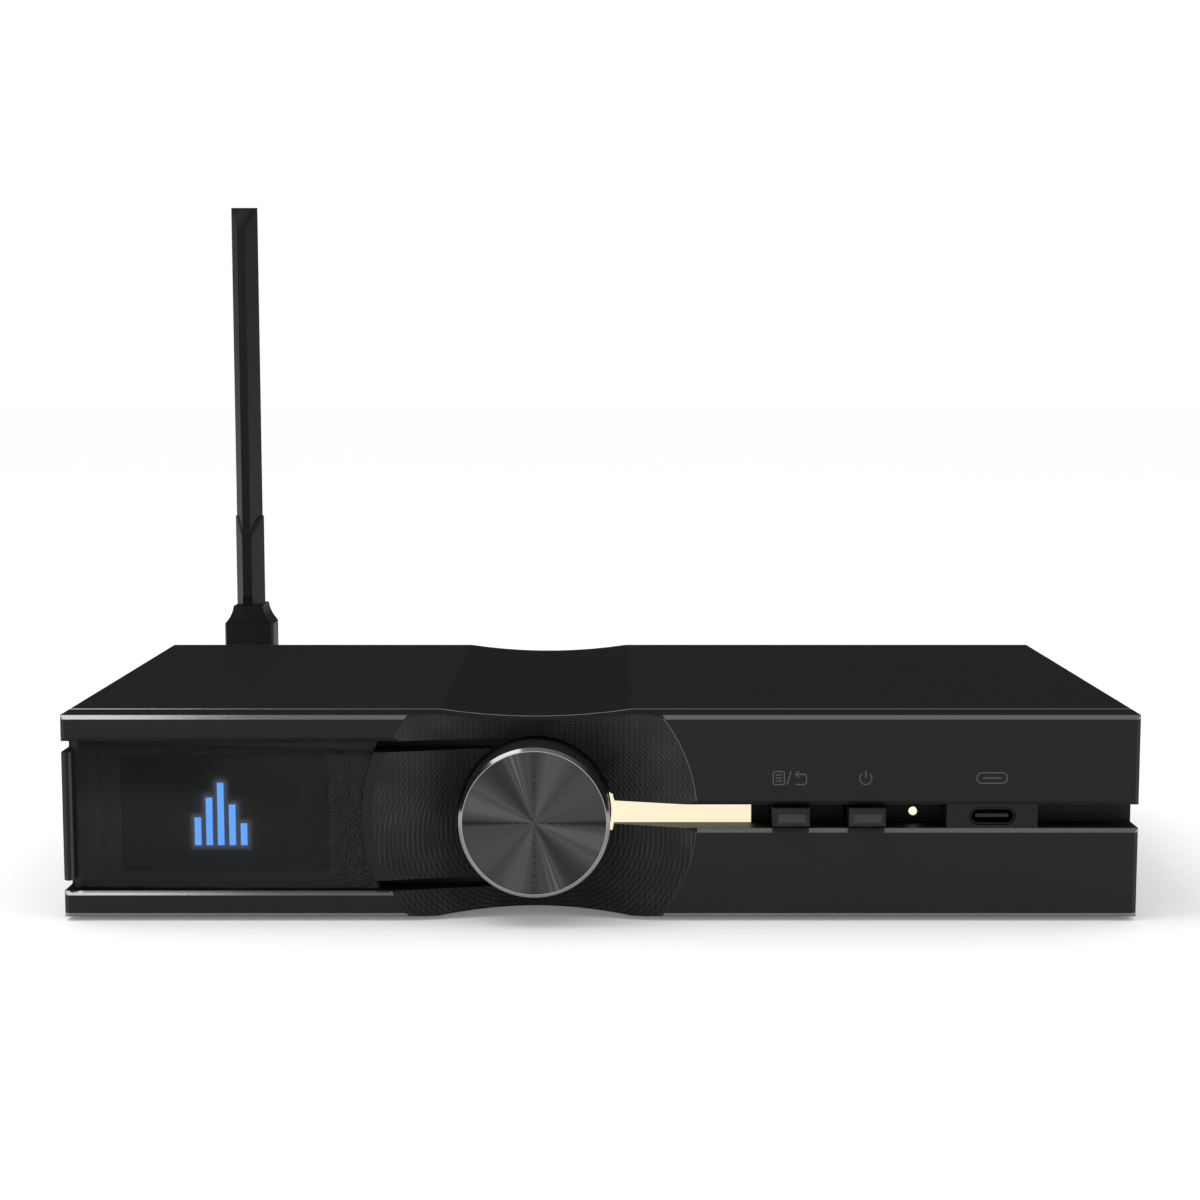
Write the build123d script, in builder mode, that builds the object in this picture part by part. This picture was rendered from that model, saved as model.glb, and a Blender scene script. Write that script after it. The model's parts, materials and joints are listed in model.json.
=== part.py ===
from build123d import *
import os

# Desktop DAC and streamer with a front dish, a push-and-turn volume knob, a display and a folding antenna.
# Millimetres. X is to the right, Y is to the back, Z is up and the floor is at Z = 0.
# The origin is the middle of the object's footprint. Depths are measured back from the front face.

os.makedirs("parts", exist_ok=True)

# ---- casing ----
case_width = 214.0
case_depth = 146.0
case_height = 40.6
foot_height = 0.8
edge_bevel = 0.85
wall = 2.2
panel_depth = 10.75
slot_depth = 8.85
rear_thickness = 3.0
valley_half_width = 19.3
valley_sag = 1.45
seam_bevel = 0.35
play = 0.15
running = 0.05
travel_gap = 0.3

# ---- knob and the dish that it stands in ----
knob_x = -13.0
knob_radius = 14.9
knob_proud = 8.0
knob_back_gap = 1.05
knob_bevel = 0.5
knob_press_travel = 0.5
well_gap = 0.6
well_radius = knob_radius + well_gap
dish_radius = 32.3
dish_depth = 6.1
nut_pocket_radius = 8.0
nut_pocket_depth = 5.8

# ---- antenna ----
antenna_inset = 17.3
antenna_x = antenna_inset - case_width / 2
antenna_setback = 16.0
blade_depth = 14.5
blade_thickness = 6.6
blade_facet = 2.0
collar_top = 73.0
collar_grow = 0.3
notch_width = 2.4
notch_depth = 0.8
notch_height = 2.4
flare_radius = 7.5
blade_top = 150.2
neck_z = 50.4
flare_z = 45.7
base_width = 12.5
base_depth = 12.5
base_corner = 3.5
base_column_play = 0.5
arch_radius = 7.6

# ---- where things stand ----
antenna_reach = antenna_setback + blade_depth / 2
front_y = knob_proud - (knob_proud + case_depth + antenna_reach) / 2
rear_y = front_y + case_depth
axis_z = foot_height + case_height / 2
top_z = foot_height + case_height
right_x = case_width / 2
rear_inner_depth = case_depth - rear_thickness
knob_back = slot_depth - knob_back_gap
valley_radius = (valley_half_width**2 + valley_sag**2) / (2 * valley_sag)

ON_TOP = (Align.CENTER, Align.CENTER, Align.MIN)
BACKWARD = (Align.CENTER, Align.MIN, Align.CENTER)
BACK_AND_UP = (Align.CENTER, Align.MIN, Align.MIN)


def behind_front(depth):
    """A plane that faces the user, a depth behind the front face. Its x is X and its y is Z."""
    return Plane(origin=(0, front_y + depth, 0), x_dir=(1, 0, 0), z_dir=(0, -1, 0))


def across_width(x):
    """A plane that faces right. Its x is the depth behind the front face and its y is Z."""
    return Plane(origin=(x, front_y, 0), x_dir=(0, 1, 0), z_dir=(1, 0, 0))


def case_outline(inset=0.0):
    """The casing's section, a rectangle with a shallow valley above and below, set in by a wall."""
    with BuildSketch(mode=Mode.PRIVATE) as outline:
        with Locations((0, axis_z)):
            Rectangle(case_width - 2 * inset, case_height - 2 * inset)
        valley_centre = case_height / 2 + valley_radius - valley_sag
        with Locations((knob_x, axis_z + valley_centre), (knob_x, axis_z - valley_centre)):
            Circle(valley_radius + inset, mode=Mode.SUBTRACT)
    return outline.sketch


# ---- sizes of the front ----
opening_half = 15.05
pane_half = 12.9
arc_rim = 2.2
arc_radius = dish_radius + arc_rim
end_strip_width = 1.4
slot_half = 2.35
knob_axis = Axis((knob_x, front_y, axis_z), (0, 1, 0))
knob_centre = (knob_x, axis_z)

button_width = 7.35
button_slot_gap = 0.525
button_height = 2 * (slot_half - button_slot_gap)
button_proud = 1.8
button_bevel = 1.0
button_play = 0.3
button_travel = 0.4
menu_x = 37.9
power_x = 52.95
lamp_x = 62.9
lamp_radius = 0.8
lamp_proud = 0.2

insert_left = 30.4
island_left = 68.9
island_right = 87.0
usb_x = 78.0
usb_width = 8.94
usb_height = 3.26
usb_wall = 0.3
usb_setback = 0.3
usb_tongue_width = 6.6
usb_tongue_height = 0.7
usb_tongue_setback = 0.8
usb_back_wall = 2.0

guide_step = 0.2
guide_thickness = 1.5
guide_fin_half = 1.0
guide_fin_inset = 2.0
guide_head_inner = knob_radius + travel_gap
guide_head_thickness = 0.6
guide_head_outer = guide_head_inner + guide_head_thickness
guide_left = knob_x + guide_head_inner + guide_step
guide_head_half = 3.6

ribbon_x = -75.0
ribbon_width = 12.0
ribbon_thickness = 0.3
ribbon_slot_height = 2.4
ribbon_slot_play = 1.0
ribbon_slot_z = axis_z - 8.0
ribbon_top_rise = 4.5
ribbon_pocket_rise = 4.0
ribbon_run = 7.5
ribbon_drop = 3.0
ribbon_bend = 0.9

bushing_radius = 3.5
shaft_radius = 3.0
bolt_radius = 1.25
bolt_head_radius = 2.3
bolt_length = 8.0
bolt_inset_x = 6.0
bolt_inset_z = 2.75
bolt_end_gap = 0.5
bolt_sink = 0.1
bolt_socket_radius = 0.9
bolt_socket_depth = 1.2
bolt_places = [
    (sx * (right_x - bolt_inset_x), axis_z + sz * (case_height / 2 - bolt_inset_z))
    for sx in (-1, 1)
    for sz in (-1, 1)
]

# The front panel is one machined block.
# The display opening, the two slots and the side notches run to slot_depth.
with BuildPart() as front_panel:
    with BuildSketch(behind_front(0)):
        add(case_outline())
    extrude(amount=-panel_depth)
    chamfer(front_panel.faces().sort_by(Axis.Y)[0].edges(), edge_bevel)
    chamfer(front_panel.faces().sort_by(Axis.Y)[-1].edges(), seam_bevel)
    with BuildSketch(Plane(origin=(knob_x, front_y, axis_z))):
        Polygon((0, 0), (dish_radius, 0), (well_radius, dish_depth), (0, dish_depth), align=None)
    revolve(axis=knob_axis, mode=Mode.SUBTRACT)
    with BuildSketch(behind_front(0)):
        with Locations(knob_centre):
            Circle(well_radius)
        with Locations((knob_x, axis_z)):
            Rectangle(right_x, 2 * slot_half, align=(Align.MIN, Align.CENTER))
            Rectangle(right_x + knob_x + play, 2 * opening_half, align=(Align.MAX, Align.CENTER))
        with Locations((right_x, axis_z)):
            Rectangle(right_x, 2 * slot_half, align=(Align.MAX, Align.CENTER))
        with BuildSketch(mode=Mode.PRIVATE) as tongue:
            with Locations(knob_centre):
                Circle(arc_radius)
                Rectangle(case_width, 2 * pane_half, mode=Mode.INTERSECT)
            with Locations(knob_centre):
                Rectangle(case_width, case_height, align=(Align.MIN, Align.CENTER), mode=Mode.SUBTRACT)
                Circle(well_radius, mode=Mode.SUBTRACT)
        add(tongue.sketch, mode=Mode.SUBTRACT)
        with Locations((-right_x, axis_z)):
            Rectangle(end_strip_width, 2 * pane_half, align=(Align.MIN, Align.CENTER), mode=Mode.SUBTRACT)
        with Locations((island_left, axis_z)):
            Rectangle(
                island_right - island_left, 2 * slot_half, align=(Align.MIN, Align.CENTER), mode=Mode.SUBTRACT
            )
    extrude(amount=-slot_depth, mode=Mode.SUBTRACT)
    # the island stands just behind the bevels of the slot
    with BuildSketch(behind_front(0)):
        with Locations(((island_left + island_right) / 2, axis_z)):
            Rectangle(island_right - island_left, 2 * slot_half)
    extrude(amount=-edge_bevel, mode=Mode.SUBTRACT)
    # bevels along the slot and along the display opening
    with BuildSketch(across_width(knob_x)):
        for side in (1, -1):
            low = axis_z + side * slot_half
            Polygon((0, low), (edge_bevel, low), (0, low + side * edge_bevel), align=None)
    extrude(amount=right_x - knob_x, mode=Mode.SUBTRACT)
    with BuildSketch(across_width(-right_x)):
        for side in (1, -1):
            low = axis_z + side * opening_half
            Polygon((0, low), (edge_bevel, low), (0, low + side * edge_bevel), align=None)
    extrude(amount=right_x + knob_x, mode=Mode.SUBTRACT)
    # pocket for the head of the light guide
    with BuildSketch(behind_front(0)):
        with Locations(knob_centre):
            Circle(guide_head_outer + play)
            Circle(well_radius, mode=Mode.SUBTRACT)
            Rectangle(
                case_width, 2 * (guide_head_half + play), align=(Align.MIN, Align.CENTER), mode=Mode.INTERSECT
            )
    extrude(amount=-slot_depth, mode=Mode.SUBTRACT)
    # openings in the web behind the slots
    with BuildSketch(behind_front(0)):
        with Locations(knob_centre):
            Circle(bushing_radius + play)
        with Locations((menu_x, axis_z), (power_x, axis_z)):
            Rectangle(button_width + 2 * button_play, button_height + 2 * button_play)
        with Locations((lamp_x, axis_z)):
            Circle(lamp_radius + play)
        with Locations((usb_x, axis_z)):
            SlotOverall(usb_width + 2 * play, usb_height + 2 * play)
        with Locations(((guide_left + insert_left) / 2, axis_z)):
            Rectangle(insert_left - guide_left - 2 * guide_fin_inset, 2 * (guide_fin_half + play))
        with Locations((ribbon_x, ribbon_slot_z)):
            Rectangle(ribbon_width + 2 * ribbon_slot_play, ribbon_slot_height)
    extrude(amount=-panel_depth, mode=Mode.SUBTRACT)
    with Locations(behind_front(panel_depth)):
        with Locations(*bolt_places):
            Cylinder(bolt_radius, bolt_length, mode=Mode.SUBTRACT)
front_panel.part.label = "front_panel"
export_step(front_panel.part, "parts/front_panel.step")

# ---- sleeve, rear panel, feet and the screws that hold the panels ----
board_z = 8.0
board_thickness = 1.6
board_play = 0.2
rail_width = 3.0
rail_rib = 1.5
boss_width = 6.4
boss_height = 3.4
foot_radius = 7.0
foot_recess = 1.0
foot_bevel = 0.2
foot_inset_x = 22.0
foot_inset_y = 18.0
board_top = board_z + board_thickness
sleeve_length = rear_inner_depth - panel_depth
inner_x = right_x - wall
foot_places = [
    (sx * (right_x - foot_inset_x), front_y + case_depth / 2 + sy * (case_depth / 2 - foot_inset_y))
    for sx in (-1, 1)
    for sy in (-1, 1)
]

with BuildPart() as sleeve:
    with BuildSketch(behind_front(panel_depth)):
        add(case_outline())
        add(case_outline(wall), mode=Mode.SUBTRACT)
        for sx in (-1, 1):
            for sz in (-1, 1):
                boss_z = axis_z + sz * (case_height / 2 - wall - boss_height / 2)
                with Locations((sx * (inner_x - boss_width / 2), boss_z)):
                    Rectangle(boss_width, boss_height)
            for rib_z in (board_z - board_play - rail_rib / 2, board_top + board_play + rail_rib / 2):
                with Locations((sx * (inner_x - rail_width / 2), rib_z)):
                    Rectangle(rail_width, rail_rib)
        with Locations(*bolt_places):
            Circle(bolt_radius + play, mode=Mode.SUBTRACT)
    extrude(amount=-sleeve_length)
    outer_ends = sleeve.faces().sort_by(Axis.Y)
    chamfer(outer_ends[0].outer_wire().edges(), seam_bevel)
    with BuildSketch(Plane.XY.offset(foot_height)):
        with Locations(*foot_places):
            Circle(foot_radius + play)
    extrude(amount=foot_recess, mode=Mode.SUBTRACT)
sleeve.part.label = "sleeve"
export_step(sleeve.part, "parts/sleeve.step")

with BuildPart() as rubber_feet:
    with BuildSketch(Plane.XY):
        with Locations(*foot_places):
            Circle(foot_radius)
    extrude(amount=foot_height + foot_recess)
    chamfer(rubber_feet.faces().sort_by(Axis.Z)[0:4].edges(), foot_bevel)
rubber_feet.part.label = "rubber_feet"
export_step(rubber_feet.part, "parts/rubber_feet.step")

# ---- sockets on the rear panel ----
xlr_places = [(-57.0, axis_z), (-27.0, axis_z)]
xlr_nose_radius = 10.2
xlr_cavity_radius = 7.8
xlr_cavity_depth = 12.0
xlr_proud = 0.4
xlr_body_width = 22.0
xlr_body_length = 20.0
xlr_pin_radius = 1.2
xlr_pin_circle = 4.2
xlr_pin_length = 16.0
xlr_pin_setback = 3.0

rca_x = -2.0
rca_pitch = 14.0
rca_low_z = board_top + 6.0
rca_radius = 4.15
rca_neck_radius = 3.85
rca_hole_play = 1.0
rca_inner_radius = 3.3
rca_pin_hole = 1.6
rca_proud = 8.0
rca_body_width = 12.0
rca_body_length = 12.0
coax_x = 16.0
coax_z = board_top + 6.5

optical_x = 33.0
optical_width = 9.8
optical_height = 10.0
optical_mouth = 7.4
optical_corner = 1.0
optical_mouth_depth = 7.0
optical_length = 13.0

usb_b_x = 50.0
usb_b_width = 12.0
usb_b_height = 11.0
usb_b_mouth_width = 8.6
usb_b_mouth_height = 7.9
usb_b_mouth_depth = 9.5
usb_b_tongue_width = 5.5
usb_b_tongue_height = 3.0
usb_b_tongue_setback = 1.2
usb_b_length = 17.0
sheet_metal = 0.4

lan_x = 70.0
lan_width = 16.0
lan_height = 13.4
lan_mouth_width = 11.8
lan_mouth_height = 8.4
lan_mouth_depth = 12.0
lan_mouth_drop = 0.6
lan_latch_height = 1.5
lan_length = 21.0

dc_inset = 17.0
dc_x = right_x - dc_inset
dc_width = 9.0
dc_height = 11.0
dc_length = 14.0
dc_hole_radius = 2.8
dc_hole_depth = 9.5
dc_pin_radius = 1.05
dc_pin_setback = 1.0
socket_proud = 0.3

sma_radius = 3.175
sma_proud = 7.5
sma_nut_radius = 4.6
sma_nut_thickness = 1.8
sma_flange_radius = 4.4
sma_flange_thickness = 1.5
sma_tail_radius = 2.2
sma_tail_length = 5.0

with BuildPart() as rear_panel:
    with BuildSketch(behind_front(rear_inner_depth)):
        add(case_outline())
        with Locations(*xlr_places):
            Circle(xlr_nose_radius + play, mode=Mode.SUBTRACT)
        with Locations((rca_x, rca_low_z), (rca_x, rca_low_z + rca_pitch), (coax_x, coax_z)):
            Circle(rca_radius + rca_hole_play, mode=Mode.SUBTRACT)
        with Locations((optical_x, board_top + optical_height / 2)):
            Rectangle(optical_width + 2 * play, optical_height + 2 * play, mode=Mode.SUBTRACT)
        with Locations((usb_b_x, board_top + usb_b_height / 2)):
            Rectangle(usb_b_width + 2 * play, usb_b_height + 2 * play, mode=Mode.SUBTRACT)
        with Locations((lan_x, board_top + lan_height / 2)):
            Rectangle(lan_width + 2 * play, lan_height + 2 * play, mode=Mode.SUBTRACT)
        with Locations((dc_x, board_top + dc_height / 2)):
            Rectangle(dc_width + 2 * play, dc_height + 2 * play, mode=Mode.SUBTRACT)
        with Locations((antenna_x, axis_z)):
            Circle(sma_radius + play, mode=Mode.SUBTRACT)
    extrude(amount=-rear_thickness)
    chamfer(rear_panel.faces().sort_by(Axis.Y)[-1].outer_wire().edges(), edge_bevel)
    chamfer(rear_panel.faces().sort_by(Axis.Y)[0].outer_wire().edges(), seam_bevel)
    with Locations(Plane(origin=(0, rear_y, 0), x_dir=(-1, 0, 0), z_dir=(0, 1, 0))):
        with Locations(*[(-x, z) for x, z in bolt_places]):
            CounterSinkHole(bolt_radius + play, bolt_head_radius, rear_thickness)
rear_panel.part.label = "rear_panel"
export_step(rear_panel.part, "parts/rear_panel.step")

# Four long screws pass through the rear panel and the sleeve into the front panel.
screw_span = case_depth - panel_depth + bolt_length / 2 - bolt_end_gap
with BuildPart() as tie_screws:
    with BuildSketch(behind_front(case_depth)):
        with Locations(*bolt_places):
            Circle(bolt_radius)
    extrude(amount=screw_span)
    with BuildSketch(behind_front(case_depth - bolt_sink)):
        with Locations(*bolt_places):
            Circle(bolt_head_radius - play)
    extrude(amount=bolt_head_radius - play - bolt_radius, taper=45)
    with BuildSketch(behind_front(case_depth)):
        with Locations(*bolt_places):
            RegularPolygon(bolt_socket_radius, 6)
    extrude(amount=bolt_socket_depth, mode=Mode.SUBTRACT)
tie_screws.part.label = "tie_screws"
export_step(tie_screws.part, "parts/tie_screws.step")

with BuildPart() as xlr_outputs:
    with BuildSketch(behind_front(case_depth + xlr_proud)):
        with Locations(*xlr_places):
            Circle(xlr_nose_radius)
    extrude(amount=rear_thickness + xlr_proud)
    with BuildSketch(behind_front(rear_inner_depth)):
        with Locations(*xlr_places):
            Rectangle(xlr_body_width, 2 * (axis_z - board_top))
    extrude(amount=xlr_body_length)
    with BuildSketch(behind_front(case_depth + xlr_proud)):
        with Locations(*xlr_places):
            Circle(xlr_cavity_radius)
    extrude(amount=xlr_cavity_depth, mode=Mode.SUBTRACT)
    with BuildSketch(behind_front(case_depth + xlr_proud)):
        with Locations(*xlr_places):
            with PolarLocations(xlr_pin_circle, 3, start_angle=-90):
                Circle(xlr_pin_radius)
    extrude(amount=xlr_pin_setback + xlr_pin_length, mode=Mode.SUBTRACT)
xlr_outputs.part.label = "xlr_outputs"
export_step(xlr_outputs.part, "parts/xlr_outputs.step")

with BuildPart() as xlr_pins:
    with BuildSketch(behind_front(case_depth + xlr_proud - xlr_pin_setback)):
        with Locations(*xlr_places):
            with PolarLocations(xlr_pin_circle, 3, start_angle=-90):
                Circle(xlr_pin_radius)
    extrude(amount=xlr_pin_length)
    chamfer(xlr_pins.faces().filter_by(Axis.Y).sort_by(Axis.Y)[-6:].edges(), xlr_pin_radius / 3)
xlr_pins.part.label = "xlr_pins"
export_step(xlr_pins.part, "parts/xlr_pins.step")

rca_places = [(rca_x, rca_low_z), (rca_x, rca_low_z + rca_pitch)]
jack_places = rca_places + [(coax_x, coax_z)]
with BuildPart() as rca_housings:
    for jack_x, jack_z in jack_places[1:]:
        body_height = jack_z + rca_body_width / 2 - board_top
        with Locations((jack_x, front_y + rear_inner_depth - rca_body_length, board_top)):
            Box(rca_body_width, rca_body_length, body_height, align=BACK_AND_UP)
    with BuildSketch(behind_front(rear_inner_depth)):
        with Locations(*jack_places):
            Circle(rca_neck_radius)
    extrude(amount=rca_body_length / 2, mode=Mode.SUBTRACT)
rca_housings.part.label = "rca_housings"
export_step(rca_housings.part, "parts/rca_housings.step")

# Each shell is a collar for the plug outside the panel, with a thinner neck through it into the housing.
rca_neck_length = rear_thickness + rca_body_length / 2
with BuildPart() as rca_shells:
    with BuildSketch(behind_front(case_depth + rca_proud)):
        with Locations(*jack_places):
            Circle(rca_radius)
    extrude(amount=rca_proud)
    with BuildSketch(behind_front(case_depth)):
        with Locations(*jack_places):
            Circle(rca_neck_radius)
    extrude(amount=rca_neck_length)
    with BuildSketch(behind_front(case_depth + rca_proud)):
        with Locations(*jack_places):
            Circle(rca_inner_radius)
    extrude(amount=rca_proud + rca_neck_length, mode=Mode.SUBTRACT)
    chamfer(rca_shells.faces().sort_by(Axis.Y)[-len(jack_places):].edges(), sheet_metal / 2)
rca_shells.part.label = "rca_shells"
export_step(rca_shells.part, "parts/rca_shells.step")

# coloured insulators inside the jacks: white for left, red for right, and the coaxial input
insulator_names = ("rca_insulator_right", "rca_insulator_left", "coax_insulator")
for insulator_name, jack in zip(insulator_names, jack_places):
    with BuildPart() as insulator:
        with BuildSketch(behind_front(case_depth + rca_proud - sheet_metal)):
            with Locations(jack):
                Circle(rca_inner_radius)
                Circle(rca_pin_hole, mode=Mode.SUBTRACT)
        extrude(amount=rca_proud + rear_thickness)
    insulator.part.label = insulator_name
    export_step(insulator.part, f"parts/{insulator_name}.step")

with BuildPart() as optical_socket:
    with Locations((optical_x, front_y + case_depth + socket_proud - optical_length, board_top)):
        Box(optical_width, optical_length, optical_height, align=BACK_AND_UP)
    with BuildSketch(behind_front(case_depth + socket_proud)):
        with Locations((optical_x, board_top + optical_height / 2)):
            RectangleRounded(optical_mouth, optical_mouth, optical_corner)
    extrude(amount=optical_mouth_depth, mode=Mode.SUBTRACT)
optical_socket.part.label = "optical_socket"
export_step(optical_socket.part, "parts/optical_socket.step")

with BuildPart() as usb_b_socket:
    with Locations((usb_b_x, front_y + case_depth + socket_proud - usb_b_length, board_top)):
        Box(usb_b_width, usb_b_length, usb_b_height, align=BACK_AND_UP)
    with BuildSketch(behind_front(case_depth + socket_proud)):
        with Locations((usb_b_x, board_top + usb_b_height / 2)):
            with BuildLine():
                half_w = usb_b_mouth_width / 2
                half_h = usb_b_mouth_height / 2
                cut = usb_b_mouth_width / 4
                Polyline(
                    (-half_w, -half_h), (half_w, -half_h), (half_w, half_h - cut), (half_w - cut, half_h),
                    (cut - half_w, half_h), (-half_w, half_h - cut), close=True,
                )
            make_face()
            Rectangle(usb_b_tongue_width, usb_b_tongue_height, mode=Mode.SUBTRACT)
    extrude(amount=usb_b_mouth_depth, mode=Mode.SUBTRACT)
    with BuildSketch(behind_front(case_depth + socket_proud)):
        with Locations((usb_b_x, board_top + usb_b_height / 2)):
            Rectangle(usb_b_tongue_width, usb_b_tongue_height)
    extrude(amount=usb_b_tongue_setback, mode=Mode.SUBTRACT)
usb_b_socket.part.label = "usb_b_socket"
export_step(usb_b_socket.part, "parts/usb_b_socket.step")

with BuildPart() as lan_socket:
    with Locations((lan_x, front_y + case_depth + socket_proud - lan_length, board_top)):
        Box(lan_width, lan_length, lan_height, align=BACK_AND_UP)
    with BuildSketch(behind_front(case_depth + socket_proud)):
        with Locations((lan_x, board_top + lan_height / 2 - lan_mouth_drop)):
            Rectangle(lan_mouth_width, lan_mouth_height)
            with Locations((0, -lan_mouth_height / 2)):
                Rectangle(lan_mouth_width / 2, lan_latch_height, align=(Align.CENTER, Align.MAX))
    extrude(amount=lan_mouth_depth, mode=Mode.SUBTRACT)
lan_socket.part.label = "lan_socket"
export_step(lan_socket.part, "parts/lan_socket.step")

with BuildPart() as dc_socket:
    with Locations((dc_x, front_y + case_depth + socket_proud - dc_length, board_top)):
        Box(dc_width, dc_length, dc_height, align=BACK_AND_UP)
    with BuildSketch(behind_front(case_depth + socket_proud)):
        with Locations((dc_x, board_top + dc_height / 2)):
            Circle(dc_hole_radius)
    extrude(amount=dc_hole_depth, mode=Mode.SUBTRACT)
dc_socket.part.label = "dc_socket"
export_step(dc_socket.part, "parts/dc_socket.step")

with BuildPart() as dc_pin:
    with BuildSketch(behind_front(case_depth + socket_proud - dc_hole_depth)):
        with Locations((dc_x, board_top + dc_height / 2)):
            Circle(dc_pin_radius)
    extrude(amount=dc_pin_setback - dc_hole_depth)
    fillet(dc_pin.faces().sort_by(Axis.Y)[-1].edges(), dc_pin_radius / 2)
dc_pin.part.label = "dc_pin"
export_step(dc_pin.part, "parts/dc_pin.step")

# ---- display, behind the smoked window on the left ----
window_inset = 3.1
window_left = window_inset - right_x
window_thickness = 3.8
border_recess = 1.8
carrier_rim = 0.6
oled_width = 50.0
oled_height = 27.0
oled_thickness = 1.8
oled_x = ribbon_x
fit_gap = 0.1

with BuildPart() as display_window:
    with BuildSketch(behind_front(border_recess)):
        with Locations((window_left, axis_z)):
            Rectangle(case_width, 2 * (opening_half - fit_gap), align=(Align.MIN, Align.CENTER))
        with Locations((knob_x, axis_z)):
            Rectangle(case_width, case_height, align=(Align.MIN, Align.CENTER), mode=Mode.SUBTRACT)
            Circle(arc_radius + fit_gap, mode=Mode.SUBTRACT)
    extrude(amount=border_recess - window_thickness)
    with BuildSketch(behind_front(0)):
        with Locations((window_left, axis_z)):
            Rectangle(case_width, 2 * pane_half, align=(Align.MIN, Align.CENTER))
        with Locations((knob_x, axis_z)):
            Rectangle(case_width, case_height, align=(Align.MIN, Align.CENTER), mode=Mode.SUBTRACT)
            Circle(arc_radius + fit_gap, mode=Mode.SUBTRACT)
    extrude(amount=-border_recess)
display_window.part.label = "display_window"
export_step(display_window.part, "parts/display_window.step")

with BuildPart() as display_carrier:
    carrier_left = end_strip_width - right_x + fit_gap
    with BuildSketch(behind_front(window_thickness)):
        with Locations((carrier_left, axis_z)):
            Rectangle(case_width, 2 * (opening_half - fit_gap), align=(Align.MIN, Align.CENTER))
        with Locations((knob_x, axis_z)):
            Rectangle(case_width, case_height, align=(Align.MIN, Align.CENTER), mode=Mode.SUBTRACT)
            Circle(arc_radius + fit_gap, mode=Mode.SUBTRACT)
    extrude(amount=window_thickness - slot_depth)
    # a rim that shows as a thin line between the window and the end strip
    with BuildSketch(behind_front(fit_gap)):
        with Locations((carrier_left, axis_z)):
            Rectangle(carrier_rim, 2 * pane_half, align=(Align.MIN, Align.CENTER))
    extrude(amount=fit_gap - window_thickness)
    with BuildSketch(behind_front(window_thickness)):
        with Locations((oled_x, axis_z)):
            Rectangle(oled_width + 2 * fit_gap, oled_height + 2 * fit_gap)
    extrude(amount=-oled_thickness, mode=Mode.SUBTRACT)
    with BuildSketch(behind_front(window_thickness)):
        with Locations((ribbon_x, ribbon_slot_z + ribbon_pocket_rise / 2)):
            Rectangle(ribbon_width + 2 * ribbon_slot_play, ribbon_slot_height + ribbon_pocket_rise)
    extrude(amount=window_thickness - slot_depth, mode=Mode.SUBTRACT)
display_carrier.part.label = "display_carrier"
export_step(display_carrier.part, "parts/display_carrier.step")

with BuildPart() as oled_module:
    with Locations((oled_x, front_y + window_thickness, axis_z)):
        Box(oled_width, oled_thickness, oled_height, align=BACKWARD)
oled_module.part.label = "oled_module"
export_step(oled_module.part, "parts/oled_module.step")

# ---- front board and what stands on it ----
front_board_depth = 17.0
front_board_half = 14.0
front_board_inset = 9.0
front_board_width = case_width - 2 * front_board_inset
standoff_inset_x = 5.0
standoff_inset_z = 3.5
standoff_radius = 2.6
led_length = 3.2
led_width = 1.6
led_height = 0.8
light_fin_end = front_board_depth - led_height
connector_height = 2.0
connector_depth = 1.5
connector_end = 1.5

with BuildPart() as front_board:
    with Locations((0, front_y + front_board_depth, axis_z)):
        Box(front_board_width, board_thickness, 2 * front_board_half, align=BACKWARD)
front_board.part.label = "front_board"
export_step(front_board.part, "parts/front_board.step")

standoff_places = [
    (sx * (front_board_width / 2 - standoff_inset_x), axis_z + sz * (front_board_half - standoff_inset_z))
    for sx in (-1, 1)
    for sz in (-1, 1)
]
with BuildPart() as board_standoffs:
    with BuildSketch(behind_front(panel_depth)):
        with Locations(*standoff_places):
            RegularPolygon(standoff_radius, 6)
            Circle(bolt_radius, mode=Mode.SUBTRACT)
    extrude(amount=panel_depth - front_board_depth)
board_standoffs.part.label = "board_standoffs"
export_step(board_standoffs.part, "parts/board_standoffs.step")

with BuildPart() as display_ribbon:
    with BuildSketch(Plane.YZ.offset(ribbon_x - ribbon_width / 2)):
        start_y = front_y + window_thickness + oled_thickness + ribbon_thickness / 2
        end_y = front_y + front_board_depth - connector_depth
        with BuildLine():
            FilletPolyline(
                (start_y, ribbon_slot_z + ribbon_top_rise),
                (start_y, ribbon_slot_z),
                (start_y + ribbon_run, ribbon_slot_z),
                (start_y + ribbon_run, ribbon_slot_z - ribbon_drop),
                (end_y, ribbon_slot_z - ribbon_drop),
                radius=ribbon_bend,
            )
        trace(line_width=ribbon_thickness)
    extrude(amount=ribbon_width)
display_ribbon.part.label = "display_ribbon"
export_step(display_ribbon.part, "parts/display_ribbon.step")

# ---- light guide, lamp and slot insert ----
with BuildPart() as light_guide:
    with BuildSketch(behind_front(slot_depth - guide_thickness)):
        with Locations((guide_left, axis_z)):
            guide_width = insert_left - guide_left - fit_gap
            Rectangle(guide_width, 2 * (slot_half - fit_gap), align=(Align.MIN, Align.CENTER))
    extrude(amount=-guide_thickness)
    with BuildSketch(behind_front(dish_depth)):
        with Locations(knob_centre):
            Circle(guide_head_outer)
            Circle(guide_head_inner, mode=Mode.SUBTRACT)
            Rectangle(case_width, 2 * guide_head_half, align=(Align.MIN, Align.CENTER), mode=Mode.INTERSECT)
    extrude(amount=dish_depth - slot_depth)
    with BuildSketch(behind_front(slot_depth)):
        with Locations(((guide_left + insert_left) / 2, axis_z)):
            Rectangle(insert_left - guide_left - 2 * guide_fin_inset - 2 * play, 2 * guide_fin_half)
    extrude(amount=slot_depth - light_fin_end)
light_guide.part.label = "light_guide"
export_step(light_guide.part, "parts/light_guide.step")

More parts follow.
